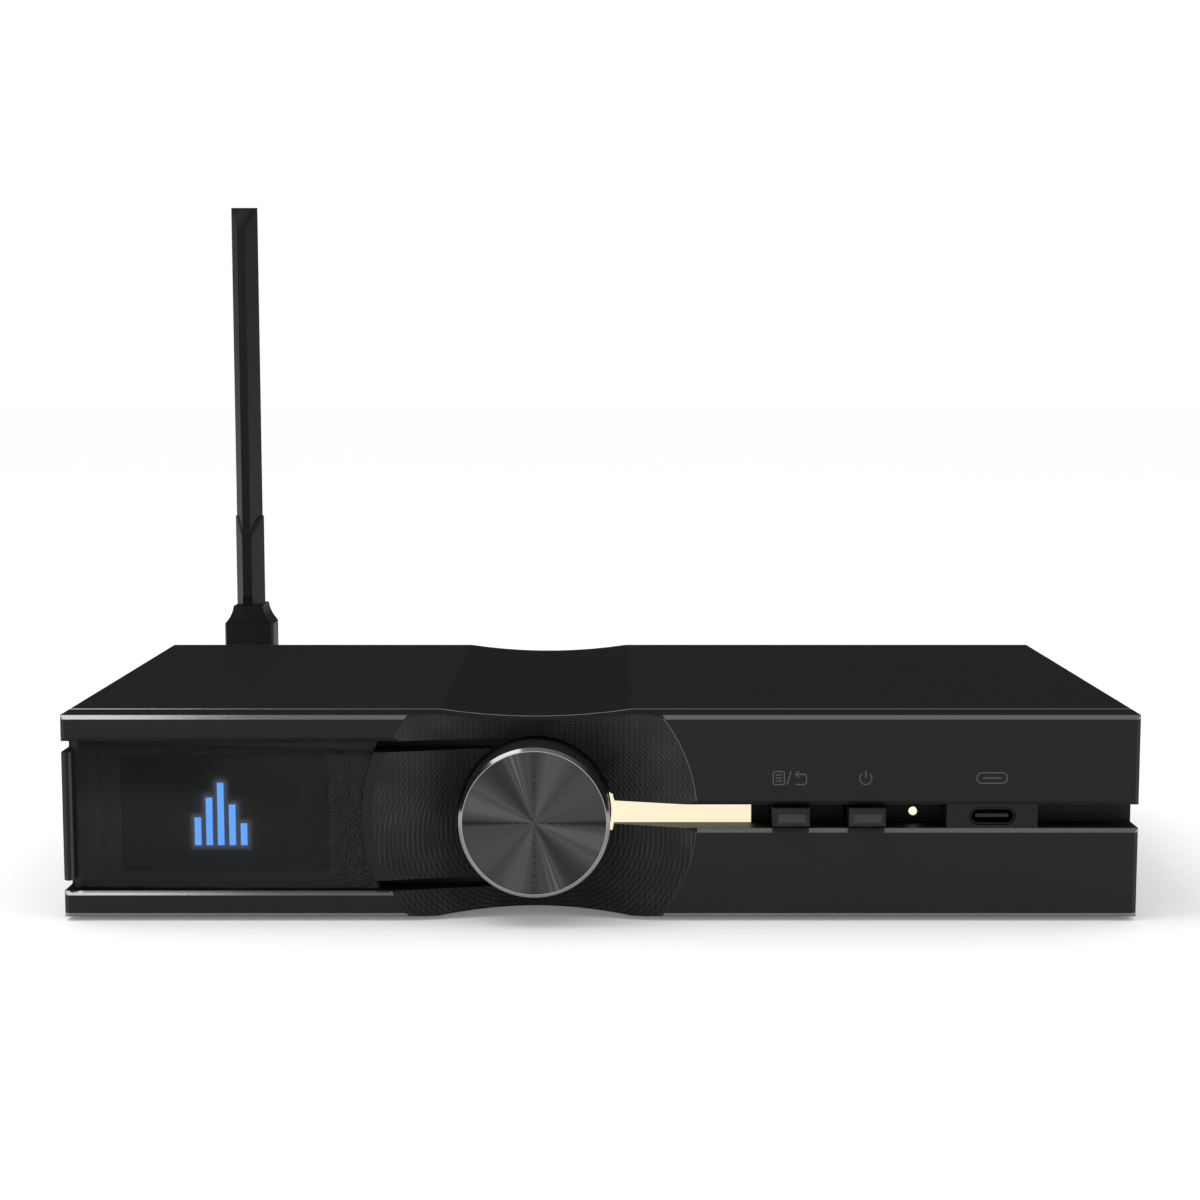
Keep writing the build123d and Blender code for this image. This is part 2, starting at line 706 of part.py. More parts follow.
with BuildPart() as slot_insert:
    with BuildSketch(behind_front(slot_depth - guide_thickness)):
        with Locations((insert_left, axis_z)):
            insert_width = island_left - fit_gap - insert_left
            Rectangle(insert_width, 2 * (slot_half - fit_gap), align=(Align.MIN, Align.CENTER))
        with Locations((menu_x, axis_z), (power_x, axis_z)):
            Rectangle(button_width + 2 * button_play, button_height + 2 * button_play, mode=Mode.SUBTRACT)
        with Locations((lamp_x, axis_z)):
            Circle(lamp_radius + fit_gap, mode=Mode.SUBTRACT)
    extrude(amount=-guide_thickness)
slot_insert.part.label = "slot_insert"
export_step(slot_insert.part, "parts/slot_insert.step")

lamp_front = slot_depth - guide_thickness - lamp_proud
with BuildPart() as lamp_lens:
    with BuildSketch(behind_front(lamp_front)):
        with Locations((lamp_x, axis_z)):
            Circle(lamp_radius)
    extrude(amount=lamp_front - light_fin_end)
    fillet(lamp_lens.faces().sort_by(Axis.Y)[0].edges(), lamp_radius / 4)
lamp_lens.part.label = "lamp_lens"
export_step(lamp_lens.part, "parts/lamp_lens.step")

led_count = 5
guide_span = insert_left - guide_left - 2 * guide_fin_inset
guide_middle = (guide_left + insert_left) / 2
led_places = [
    (guide_middle + guide_span * ((i + 0.5) / led_count - 0.5), axis_z) for i in range(led_count)
]
with BuildPart() as board_leds:
    with BuildSketch(behind_front(light_fin_end)):
        with Locations(*led_places, (lamp_x, axis_z)):
            Rectangle(led_length, led_width)
    extrude(amount=-led_height)
board_leds.part.label = "board_leds"
export_step(board_leds.part, "parts/board_leds.step")

# ---- buttons, each one moulded piece with a flange behind the web ----
flange_thickness = 1.0
flange_lip = 1.0
flange_start = panel_depth + 0.1
nub_radius = 1.2
nub_end = 13.0
switch_size = 6.0
switch_front = 13.6
plunger_radius = 0.9
plunger_length = 1.8
plunger_well_depth = 2.4

for button_name, plunger_name, button_x in (
    ("menu_button", "menu_switch_plunger", menu_x),
    ("power_button", "power_switch_plunger", power_x),
):
    with BuildPart() as button:
        with BuildSketch(behind_front(-button_proud)):
            with Locations((button_x, axis_z)):
                Rectangle(button_width, button_height)
        extrude(amount=-(button_proud + flange_start))
        chamfer(button.faces().sort_by(Axis.Y)[0].edges(), button_bevel)
        with BuildSketch(behind_front(flange_start)):
            with Locations((button_x, axis_z)):
                Rectangle(button_width + 2 * flange_lip, button_height + 2 * flange_lip)
        extrude(amount=-flange_thickness)
        with BuildSketch(behind_front(flange_start + flange_thickness)):
            with Locations((button_x, axis_z)):
                Circle(nub_radius)
        extrude(amount=flange_start + flange_thickness - nub_end)
    button.part.label = button_name
    export_step(button.part, f"parts/{button_name}.step")
    with BuildPart() as plunger:
        with BuildSketch(behind_front(nub_end)):
            with Locations((button_x, axis_z)):
                Circle(plunger_radius)
        extrude(amount=-plunger_length)
    plunger.part.label = plunger_name
    export_step(plunger.part, f"parts/{plunger_name}.step")

with BuildPart() as button_switches:
    with BuildSketch(behind_front(switch_front)):
        with Locations((menu_x, axis_z), (power_x, axis_z)):
            Rectangle(switch_size, switch_size)
    extrude(amount=switch_front - front_board_depth)
    with BuildSketch(behind_front(switch_front)):
        with Locations((menu_x, axis_z), (power_x, axis_z)):
            Circle(plunger_radius + running)
    extrude(amount=-plunger_well_depth, mode=Mode.SUBTRACT)
button_switches.part.label = "button_switches"
export_step(button_switches.part, "parts/button_switches.step")

# ---- USB-C receptacle in the island, on a board of its own ----
usb_front = edge_bevel + usb_setback
usb_back = 12.0
usb_board_height = 13.0
usb_board_thickness = 1.0
usb_header_width = 12.0
usb_header_height = 2.5
usb_header_drop = 4.0
with BuildPart() as usb_c_receptacle:
    with BuildSketch(behind_front(usb_front)):
        with Locations((usb_x, axis_z)):
            SlotOverall(usb_width, usb_height)
    extrude(amount=usb_front - usb_back)
    with BuildSketch(behind_front(usb_front)):
        with Locations((usb_x, axis_z)):
            SlotOverall(usb_width - 2 * usb_wall, usb_height - 2 * usb_wall)
    extrude(amount=usb_front - usb_back + usb_back_wall, mode=Mode.SUBTRACT)
usb_c_receptacle.part.label = "usb_c_receptacle"
export_step(usb_c_receptacle.part, "parts/usb_c_receptacle.step")

with BuildPart() as usb_c_tongue:
    with BuildSketch(behind_front(usb_front + usb_tongue_setback)):
        with Locations((usb_x, axis_z)):
            Rectangle(usb_tongue_width, usb_tongue_height)
    extrude(amount=usb_front + usb_tongue_setback - usb_back + usb_back_wall)
usb_c_tongue.part.label = "usb_c_tongue"
export_step(usb_c_tongue.part, "parts/usb_c_tongue.step")

with BuildPart() as usb_board:
    with Locations((usb_x, front_y + usb_back, axis_z)):
        Box(island_right - island_left, usb_board_thickness, usb_board_height, align=BACKWARD)
    with Locations((usb_x, front_y + usb_back + usb_board_thickness, axis_z - usb_header_drop)):
        usb_header_length = front_board_depth - usb_back - usb_board_thickness
        Box(usb_header_width, usb_header_length, usb_header_height, align=BACKWARD)
usb_board.part.label = "usb_board"
export_step(usb_board.part, "parts/usb_board.step")

# ---- volume knob on a push encoder ----
encoder_size = 13.0
encoder_corner = 1.0
encoder_thread_front = 4.5
encoder_nut_radius = 6.2
encoder_nut_thickness = 2.2
shaft_front = -4.0
shaft_end = 14.0
plate_radius = 2.2
plate_thickness = 1.0
encoder_well_end = shaft_end + running + plate_thickness + knob_press_travel + travel_gap
grub_radius = 1.5
grub_length = 5.0
grub_depth = -2.0
grub_socket_radius = 0.85
grub_socket_depth = 1.5

with BuildPart() as volume_knob:
    with BuildSketch(behind_front(-knob_proud)):
        with Locations(knob_centre):
            Circle(knob_radius)
    extrude(amount=-(knob_proud + knob_back))
    chamfer(volume_knob.faces().sort_by(Axis.Y)[0].edges(), knob_bevel)
    with BuildSketch(behind_front(knob_back)):
        with Locations(knob_centre):
            Circle(nut_pocket_radius)
    extrude(amount=nut_pocket_depth, mode=Mode.SUBTRACT)
    with BuildSketch(behind_front(knob_back)):
        with Locations(knob_centre):
            Circle(shaft_radius)
    extrude(amount=knob_back - shaft_front, mode=Mode.SUBTRACT)
    with BuildSketch(Plane(origin=(knob_x, front_y + grub_depth, axis_z), z_dir=(0, 0, -1))):
        Circle(grub_radius)
    extrude(amount=knob_radius, mode=Mode.SUBTRACT)
volume_knob.part.label = "volume_knob"
export_step(volume_knob.part, "parts/volume_knob.step")

with BuildPart() as encoder_shaft:
    with BuildSketch(behind_front(shaft_front)):
        with Locations(knob_centre):
            Circle(shaft_radius)
    extrude(amount=shaft_front - shaft_end)
encoder_shaft.part.label = "encoder_shaft"
export_step(encoder_shaft.part, "parts/encoder_shaft.step")

grub_end_z = axis_z - shaft_radius - grub_length
with BuildPart() as knob_grub_screw:
    with BuildSketch(Plane(origin=(knob_x, front_y + grub_depth, grub_end_z))):
        Circle(grub_radius)
    extrude(amount=grub_length)
    with BuildSketch(Plane(origin=(knob_x, front_y + grub_depth, grub_end_z))):
        RegularPolygon(grub_socket_radius, 6)
    extrude(amount=grub_socket_depth, mode=Mode.SUBTRACT)
    with Locations((knob_x, front_y, axis_z)):
        Cylinder(shaft_radius, knob_radius, rotation=(90, 0, 0), mode=Mode.SUBTRACT)
knob_grub_screw.part.label = "knob_grub_screw"
export_step(knob_grub_screw.part, "parts/knob_grub_screw.step")

with BuildPart() as encoder_body:
    with BuildSketch(behind_front(panel_depth)):
        with Locations(knob_centre):
            RectangleRounded(encoder_size, encoder_size, encoder_corner)
    extrude(amount=panel_depth - front_board_depth)
    with BuildSketch(behind_front(encoder_thread_front)):
        with Locations(knob_centre):
            Circle(bushing_radius)
    extrude(amount=encoder_thread_front - panel_depth)
    with BuildSketch(behind_front(encoder_thread_front)):
        with Locations(knob_centre):
            Circle(shaft_radius + running)
    extrude(amount=encoder_thread_front - encoder_well_end, mode=Mode.SUBTRACT)
encoder_body.part.label = "encoder_body"
export_step(encoder_body.part, "parts/encoder_body.step")

with BuildPart() as encoder_nut:
    with BuildSketch(behind_front(slot_depth - encoder_nut_thickness)):
        with Locations(knob_centre):
            RegularPolygon(encoder_nut_radius, 6)
            Circle(bushing_radius, mode=Mode.SUBTRACT)
    extrude(amount=-encoder_nut_thickness)
encoder_nut.part.label = "encoder_nut"
export_step(encoder_nut.part, "parts/encoder_nut.step")

with BuildPart() as encoder_push_plate:
    with BuildSketch(behind_front(shaft_end + running)):
        with Locations(knob_centre):
            Circle(plate_radius)
    extrude(amount=-plate_thickness)
encoder_push_plate.part.label = "encoder_push_plate"
export_step(encoder_push_plate.part, "parts/encoder_push_plate.step")

# ---- antenna: connector, nuts, a knuckle that turns about Y and a mast that folds back about X ----
hinge_y = rear_y + antenna_setback
coupling_front = sma_nut_thickness + travel_gap
coupling_length = 6.8
coupling_radius = 4.9
coupling_sides = 12
coupling_lip = 1.4
coupling_lip_step = 0.5
spigot_radius = 2.9
knuckle_radius = 5.0
knuckle_corner = 2.0
knuckle_gap = 0.3
ear_thickness = 3.0
ear_gap = 0.1
tab_radius = 3.9
shoulder_gap = 0.4
hinge_pin_radius = 1.25
hinge_pin_inset = 0.2
coupling_end = coupling_front + coupling_length
antenna_centre = (antenna_x, axis_z)

with BuildPart() as antenna_jack:
    with BuildSketch(behind_front(case_depth + sma_proud)):
        with Locations(antenna_centre):
            Circle(sma_radius)
    extrude(amount=sma_proud + rear_thickness)
    with BuildSketch(behind_front(rear_inner_depth)):
        with Locations(antenna_centre):
            RegularPolygon(sma_flange_radius, 6)
    extrude(amount=sma_flange_thickness)
    with BuildSketch(behind_front(rear_inner_depth - sma_flange_thickness)):
        with Locations(antenna_centre):
            Circle(sma_tail_radius)
    extrude(amount=sma_tail_length)
antenna_jack.part.label = "antenna_jack"
export_step(antenna_jack.part, "parts/antenna_jack.step")

with BuildPart() as antenna_jack_nut:
    with BuildSketch(behind_front(case_depth)):
        with Locations(antenna_centre):
            RegularPolygon(sma_nut_radius, 6)
            Circle(sma_radius, mode=Mode.SUBTRACT)
    extrude(amount=-sma_nut_thickness)
antenna_jack_nut.part.label = "antenna_jack_nut"
export_step(antenna_jack_nut.part, "parts/antenna_jack_nut.step")

with BuildPart() as antenna_coupling_nut:
    with BuildSketch(behind_front(case_depth + coupling_front)):
        with Locations(antenna_centre):
            RegularPolygon(coupling_radius, coupling_sides)
            Circle(sma_radius + running, mode=Mode.SUBTRACT)
    extrude(amount=-coupling_length)
    with BuildSketch(behind_front(case_depth + coupling_end)):
        with Locations(antenna_centre):
            Circle(coupling_radius - coupling_lip_step)
            Circle(spigot_radius + running, mode=Mode.SUBTRACT)
    extrude(amount=coupling_lip)
antenna_coupling_nut.part.label = "antenna_coupling_nut"
export_step(antenna_coupling_nut.part, "parts/antenna_coupling_nut.step")

root_start = coupling_end + knuckle_gap
root_end = antenna_setback - tab_radius - shoulder_gap
with BuildPart() as antenna_knuckle:
    with BuildSketch(behind_front(case_depth + root_start)):
        with Locations(antenna_centre):
            RectangleRounded(base_width, 2 * knuckle_radius, knuckle_corner)
    extrude(amount=root_start - root_end)
    with BuildSketch(behind_front(case_depth + root_start)):
        with Locations(antenna_centre):
            Circle(spigot_radius)
    extrude(amount=knuckle_gap + coupling_lip)
    for side in (-1, 1):
        outer_x = antenna_x + side * base_width / 2
        with BuildSketch(Plane.YZ.offset(outer_x)):
            with Locations((hinge_y, axis_z)):
                Circle(knuckle_radius)
                Rectangle(antenna_setback - root_start, 2 * knuckle_radius, align=(Align.MAX, Align.CENTER))
        extrude(amount=-side * ear_thickness)
    with BuildSketch(Plane.YZ.offset(antenna_x - base_width / 2)):
        with Locations((hinge_y, axis_z)):
            Circle(hinge_pin_radius)
    extrude(amount=base_width, mode=Mode.SUBTRACT)
antenna_knuckle.part.label = "antenna_knuckle"
export_step(antenna_knuckle.part, "parts/antenna_knuckle.step")

with BuildPart() as antenna_hinge_pin:
    with BuildSketch(Plane.YZ.offset(antenna_x - base_width / 2 + hinge_pin_inset)):
        with Locations((hinge_y, axis_z)):
            Circle(hinge_pin_radius)
    extrude(amount=base_width - 2 * hinge_pin_inset)
antenna_hinge_pin.part.label = "antenna_hinge_pin"
export_step(antenna_hinge_pin.part, "parts/antenna_hinge_pin.step")

shoulder_z = axis_z + knuckle_radius + shoulder_gap
tab_half = base_width / 2 - ear_thickness - ear_gap
mast_centre = (antenna_x, hinge_y)


def blade_section(z, grow=0.0):
    """The blade's six-sided section at a height: widest at the middle, with a narrow facet front and back."""
    with BuildSketch(Plane.XY.offset(z), mode=Mode.PRIVATE) as section:
        with Locations(mast_centre):
            facet = blade_facet / 2 + grow / 2
            reach = blade_depth / 2
            middle = blade_thickness / 2 + grow
            Polygon(
                (-facet, -reach), (facet, -reach), (middle, 0), (facet, reach), (-facet, reach), (-middle, 0),
                align=None,
            )
    return section.sketch


def above_arch(top):
    """What lies above a round arch a little wider than the blade, from the side, its crown at a height."""
    with BuildSketch(Plane.YZ.offset(antenna_x - base_width), mode=Mode.PRIVATE) as corner:
        with Locations((hinge_y, top - arch_radius)):
            Rectangle(2 * blade_depth, blade_depth, align=(Align.CENTER, Align.MIN))
            Circle(arch_radius, mode=Mode.SUBTRACT)
    return corner.sketch


with BuildPart() as antenna_mast:
    # the base and its concave flare, from the front and from the side
    with BuildSketch(Plane(origin=(antenna_x, hinge_y + blade_depth, 0), x_dir=(1, 0, 0), z_dir=(0, -1, 0))):
        with BuildLine():
            neck_half = blade_thickness / 2 + collar_grow
            Polyline((0, neck_z), (0, shoulder_z), (base_width / 2, shoulder_z), (base_width / 2, flare_z))
            RadiusArc((base_width / 2, flare_z), (neck_half, neck_z), flare_radius)
            Line((neck_half, neck_z), (0, neck_z))
        make_face()
        mirror(about=Plane.YZ)
    extrude(amount=2 * blade_depth)
    with BuildSketch(Plane.YZ.offset(antenna_x - base_width)):
        with BuildLine():
            side_points = [
                (base_depth / 2, shoulder_z), (base_depth / 2, flare_z), (blade_depth / 2, neck_z),
                (-blade_depth / 2, neck_z), (-base_depth / 2, flare_z), (-base_depth / 2, shoulder_z),
            ]
            Polyline(*[(hinge_y + y, z) for y, z in side_points], close=True)
        make_face()
    extrude(amount=2 * base_width, mode=Mode.INTERSECT)
    with BuildSketch(Plane.XY.offset(shoulder_z)):
        with Locations(mast_centre):
            RectangleRounded(base_width, blade_depth + 2 * base_column_play, base_corner)
    extrude(amount=neck_z - shoulder_z, mode=Mode.INTERSECT)
    # a slightly thicker collar that ends in an arch, then the blade with its round tip
    extrude(blade_section(neck_z, collar_grow), amount=collar_top - neck_z)
    extrude(above_arch(collar_top), amount=2 * base_width, mode=Mode.SUBTRACT)
    extrude(blade_section(neck_z), amount=blade_top - neck_z)
    extrude(above_arch(blade_top), amount=2 * base_width, mode=Mode.SUBTRACT)
    # a notch below the front and back facets
    for side in (-1, 1):
        with Locations((antenna_x, hinge_y + side * blade_depth / 2, neck_z)):
            Box(notch_width, 2 * notch_depth, notch_height, align=ON_TOP, mode=Mode.SUBTRACT)
    # tab between the knuckle's ears
    with BuildSketch(Plane.YZ.offset(antenna_x - tab_half)):
        with Locations((hinge_y, axis_z)):
            Circle(tab_radius)
            Rectangle(2 * tab_radius, shoulder_z - axis_z, align=(Align.CENTER, Align.MIN))
    extrude(amount=2 * tab_half)
    with BuildSketch(Plane.YZ.offset(antenna_x - tab_half)):
        with Locations((hinge_y, axis_z)):
            Circle(hinge_pin_radius + running)
    extrude(amount=2 * tab_half, mode=Mode.SUBTRACT)
antenna_mast.part.label = "antenna_mast"
export_step(antenna_mast.part, "parts/antenna_mast.step")

# ---- main board and what stands on it ----
board_front = 24.0
board_back_gap = 1.5
board_length = rear_inner_depth - board_back_gap - board_front
board_width = 2 * (inner_x - board_play)
layout_length = 117.5
layout_width = 209.2
module_x = antenna_x + 5.7
module_depth = rear_inner_depth - 59.0


def on_board(x, depth):
    """A place on the main board as X and Y. Places spread or close up with the board's own size."""
    behind_edge = (depth - board_front) * board_length / layout_length
    return x * board_width / layout_width, front_y + board_front + behind_edge


with BuildPart() as main_board:
    with Locations((0, front_y + board_front, board_z)):
        Box(board_width, board_length, board_thickness, align=BACK_AND_UP)
main_board.part.label = "main_board"
export_step(main_board.part, "parts/main_board.step")

# name: (width, length, height, places). The Wi-Fi module stands in line with the antenna.
board_blocks = {
    "dac_chips": (9.0, 9.0, 1.4, [on_board(-48, 84), on_board(-22, 84)]),
    "processors": (14.0, 14.0, 1.6, [on_board(58, 68), on_board(50, 104)]),
    "wifi_module": (22.0, 16.0, 1.0, [(module_x, front_y + module_depth)]),
    "output_relays": (10.0, 15.0, 9.5, [on_board(x, 108) for x in (-60, -45, -30, -15)]),
    "clock_oscillators": (7.0, 5.0, 1.8, [on_board(-35, 68), on_board(40, 84)]),
    "power_inductors": (12.0, 12.0, 6.0, [on_board(84, 100), on_board(84, 84)]),
}
for block_name, (width, length, height, places) in board_blocks.items():
    with BuildPart() as block:
        with BuildSketch(Plane.XY.offset(board_top)):
            with Locations(*places):
                Rectangle(width, length)
        extrude(amount=height)
    block.part.label = block_name
    export_step(block.part, f"parts/{block_name}.step")

capacitor_radius = 5.0
capacitor_height = 16.0
capacitor_pitch = 13.0
capacitor_round = 0.8
capacitor_depth = 60.0
with BuildPart() as filter_capacitors:
    with BuildSketch(Plane.XY.offset(board_top)):
        with Locations(on_board(0, capacitor_depth)):
            with GridLocations(capacitor_pitch, capacitor_pitch, 3, 2):
                Circle(capacitor_radius)
    extrude(amount=capacitor_height)
    fillet(filter_capacitors.faces().sort_by(Axis.Z)[-6:].edges(), capacitor_round)
filter_capacitors.part.label = "filter_capacitors"
export_step(filter_capacitors.part, "parts/filter_capacitors.step")

sink_x = 84.0
sink_depth = 56.0
sink_width = 22.0
sink_length = 26.0
sink_base = 2.0
fin_count = 7
fin_pitch = 3.4
fin_thickness = 1.2
fin_height = 12.0
with BuildPart() as heat_sink:
    with Locations((*on_board(sink_x, sink_depth), board_top)):
        Box(sink_width, sink_length, sink_base, align=ON_TOP)
        with GridLocations(fin_pitch, fin_pitch, fin_count, 1):
            with Locations((0, 0, sink_base)):
                Box(fin_thickness, sink_length, fin_height, align=ON_TOP)
heat_sink.part.label = "heat_sink"
export_step(heat_sink.part, "parts/heat_sink.step")

module_height = board_blocks["wifi_module"][2]
shield_x = module_x + 2.0
shield_depth = module_depth + 2.5
shield_width = 16.0
shield_length = 9.0
shield_height = 2.0
with BuildPart() as wifi_shield:
    with Locations((shield_x, front_y + shield_depth, board_top + module_height)):
        Box(shield_width, shield_length, shield_height, align=ON_TOP)
wifi_shield.part.label = "wifi_shield"
export_step(wifi_shield.part, "parts/wifi_shield.step")

# flat cable from the front board to the main board, and the connectors at the ends of both flat cables
link_x = 30.0
link_width = 20.0
link_z = board_top + connector_height
link_start = front_board_depth + board_thickness
link_depth = 30.0
link_end = front_y + link_depth
link_rise = 2.0
link_run = 5.4
link_drop_start = 5.0
link_bend = 2.5
with BuildPart() as board_link_cable:
    with BuildSketch(Plane.YZ.offset(link_x - link_width / 2)):
        with BuildLine():
            FilletPolyline(
                (front_y + link_start, axis_z + link_rise),
                (front_y + link_start + link_run, axis_z + link_rise),
                (link_end, link_z + link_drop_start),
                (link_end, link_z),
                radius=link_bend,
            )
        trace(line_width=ribbon_thickness)
    extrude(amount=link_width)
board_link_cable.part.label = "board_link_cable"
export_step(board_link_cable.part, "parts/board_link_cable.step")

with BuildPart() as cable_connectors:
    with BuildSketch(behind_front(front_board_depth - connector_depth)):
        with Locations((ribbon_x, ribbon_slot_z - ribbon_drop)):
            Rectangle(ribbon_width + 2 * connector_end, connector_height)
    extrude(amount=-connector_depth)
    with BuildSketch(Plane.XY.offset(board_top)):
        with Locations((link_x, link_end)):
            Rectangle(link_width + 2 * connector_end, 2 * connector_height)
    extrude(amount=connector_height)
cable_connectors.part.label = "cable_connectors"
export_step(cable_connectors.part, "parts/cable_connectors.step")

# thin coaxial lead from the antenna jack to the Wi-Fi module
lead_radius = 0.7
lead_plug_radius = 1.6
lead_plug_height = 1.8
lead_plug_depth = module_depth - 5.0
lead_start = rear_inner_depth - sma_flange_thickness - sma_tail_length
lead_z = board_top + module_height + lead_plug_height - lead_radius
lead_bend = 6.0
lead_plug_x = antenna_x - 2.5
# each stop of the lead: X from the antenna's axis, depth, and height
lead_stops = [
    (0.0, lead_start, axis_z),
    (0.0, lead_start - 12, axis_z),
    (-3.0, lead_start - 24, axis_z - 3),
    (-6.0, lead_start - 34, lead_z + 4),
    (-5.0, lead_plug_depth + 10, lead_z),
    (lead_plug_x - antenna_x, lead_plug_depth, lead_z),
]
with BuildPart() as antenna_lead:
    with BuildLine():
        FilletPolyline(*[(antenna_x + x, front_y + depth, z) for x, depth, z in lead_stops], radius=lead_bend)
    with BuildSketch(behind_front(lead_start)):
        with Locations(antenna_centre):
            Circle(lead_radius)
    sweep()
    with BuildSketch(Plane.XY.offset(board_top + module_height)):
        with Locations((lead_plug_x, front_y + lead_plug_depth)):
            Circle(lead_plug_radius)
    extrude(amount=lead_plug_height)
antenna_lead.part.label = "antenna_lead"
export_step(antenna_lead.part, "parts/antenna_lead.step")
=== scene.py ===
"""Looks of a desktop DAC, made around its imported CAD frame. Everything is in metres, in the frame's axes."""

import json
import math

import bmesh
import bpy
from mathutils import Matrix, Vector


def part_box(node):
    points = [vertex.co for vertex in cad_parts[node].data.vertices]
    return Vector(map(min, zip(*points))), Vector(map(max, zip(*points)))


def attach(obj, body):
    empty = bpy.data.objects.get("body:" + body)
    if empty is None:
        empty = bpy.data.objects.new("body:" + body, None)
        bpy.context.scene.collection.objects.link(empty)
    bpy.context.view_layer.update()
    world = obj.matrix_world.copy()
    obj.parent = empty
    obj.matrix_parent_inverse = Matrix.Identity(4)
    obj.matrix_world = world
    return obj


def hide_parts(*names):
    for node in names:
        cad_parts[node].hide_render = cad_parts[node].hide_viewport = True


bl_info = {
    "name": "Desktop DAC",
    "version": (1, 0, 0),
    "blender": (4, 5, 0),
    "location": "View3D > Sidebar > DAC",
    "description": "Dresses a desktop DAC with a dished front, a lit display and a folding antenna",
    "category": "Object",
}

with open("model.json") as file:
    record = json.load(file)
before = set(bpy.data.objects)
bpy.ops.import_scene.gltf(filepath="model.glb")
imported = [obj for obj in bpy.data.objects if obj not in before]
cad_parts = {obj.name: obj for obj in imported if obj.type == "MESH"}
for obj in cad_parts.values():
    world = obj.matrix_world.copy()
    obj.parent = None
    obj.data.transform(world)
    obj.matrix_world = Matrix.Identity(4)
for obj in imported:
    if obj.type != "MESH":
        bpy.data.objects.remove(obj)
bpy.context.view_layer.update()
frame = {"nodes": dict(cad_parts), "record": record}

MM = 0.001
BODY_OF = {node: body for body, nodes in frame["record"]["behaviour"]["bodies"].items() for node in nodes}
SLOT_OF = {part["node"]: part["material_slot"] for part in frame["record"]["subparts"]}


def middle(node):
    """The centre of a CAD node's box."""
    low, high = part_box(node)
    return (low + high) / 2


PANEL_LOW, PANEL_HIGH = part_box("front_panel")
REAR_LOW, REAR_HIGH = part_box("rear_panel")
FRONT_Y = PANEL_LOW.y
REAR_Y = REAR_HIGH.y
KNOB = middle("volume_knob")
AXIS_Z = KNOB.z

# sizes that the looks follow, in millimetres
EDGE_BEVEL = 0.85
DISH_RADIUS = 32.3
DISH_DEPTH = 6.1
WELL_RADIUS = 15.5
SLOT_HALF = 2.35
OPENING_HALF = 15.05
CASE_HALF = 20.3
CASE_WIDTH = 214.0
PANEL_DEPTH = 10.75
SEAM_BEVEL = 0.35
VALLEY_HALF_WIDTH = 19.3
FOOT_TOP = 50.4
REAR_BEVEL_START = 19.5
CAN_TOP_BAND = 0.9
SCREEN_CORNER = 1.5

TURN = 2 * math.pi

# the camera: metres, degrees down, a share of the frame up, and millimetres of sensor
CAMERA_X = -0.0001
CAMERA_BACK = 0.5248
CAMERA_HEIGHT = 0.1061
CAMERA_PITCH = 8.0
CAMERA_SHIFT = 0.134
SENSOR_WIDTH = 36.0

# the floor and the softbox, in metres, and how strongly the floor glows
FLOOR_HALF = 12.0
FLOOR_GLOW = 0.16
KEY_PLACE = (-0.53, -0.15, 0.95)
KEY_SIZE = (0.6, 0.7)


# ---- finishes ----
class Socket:
    """An output of a node. Sums written on it add the Math nodes that work them out."""

    def __init__(self, finish, socket):
        self.finish = finish
        self.socket = socket

    def pick(self, output):
        """Another output of the same node."""
        return Socket(self.finish, self.socket.node.outputs[output])

    def maths(self, operation, *others):
        return self.finish.add("ShaderNodeMath", {"operation": operation}, dict(enumerate((self, *others))))

    def __add__(self, other):
        return self.maths("ADD", other)

    def __radd__(self, other):
        return self.maths("ADD", other)

    def __sub__(self, other):
        return self.maths("SUBTRACT", other)

    def __rsub__(self, other):
        return self.maths("MULTIPLY_ADD", -1.0, other)

    def __mul__(self, other):
        return self.maths("MULTIPLY", other)

    def __rmul__(self, other):
        return self.maths("MULTIPLY", other)

    def __truediv__(self, other):
        return self.maths("DIVIDE", other)

    def __pow__(self, other):
        return self.maths("POWER", other)

    def __gt__(self, other):
        return self.maths("GREATER_THAN", other)

    def __lt__(self, other):
        return self.maths("LESS_THAN", other)

    def __abs__(self):
        return self.maths("ABSOLUTE")

    def sine(self):
        return self.maths("SINE")

    def root(self):
        return self.maths("SQRT")

    def grown(self):
        """e to the power of this value."""
        return self.maths("EXPONENT")

    def clamped(self):
        return self.finish.add("ShaderNodeClamp", None, {0: self})

    def between(self, low, high, soft):
        """1 from low to high, fading to 0 over soft at each side, inside the two."""
        rise = ((self - low) / soft).clamped()
        fall = ((high - self) / soft).clamped()
        return rise * fall


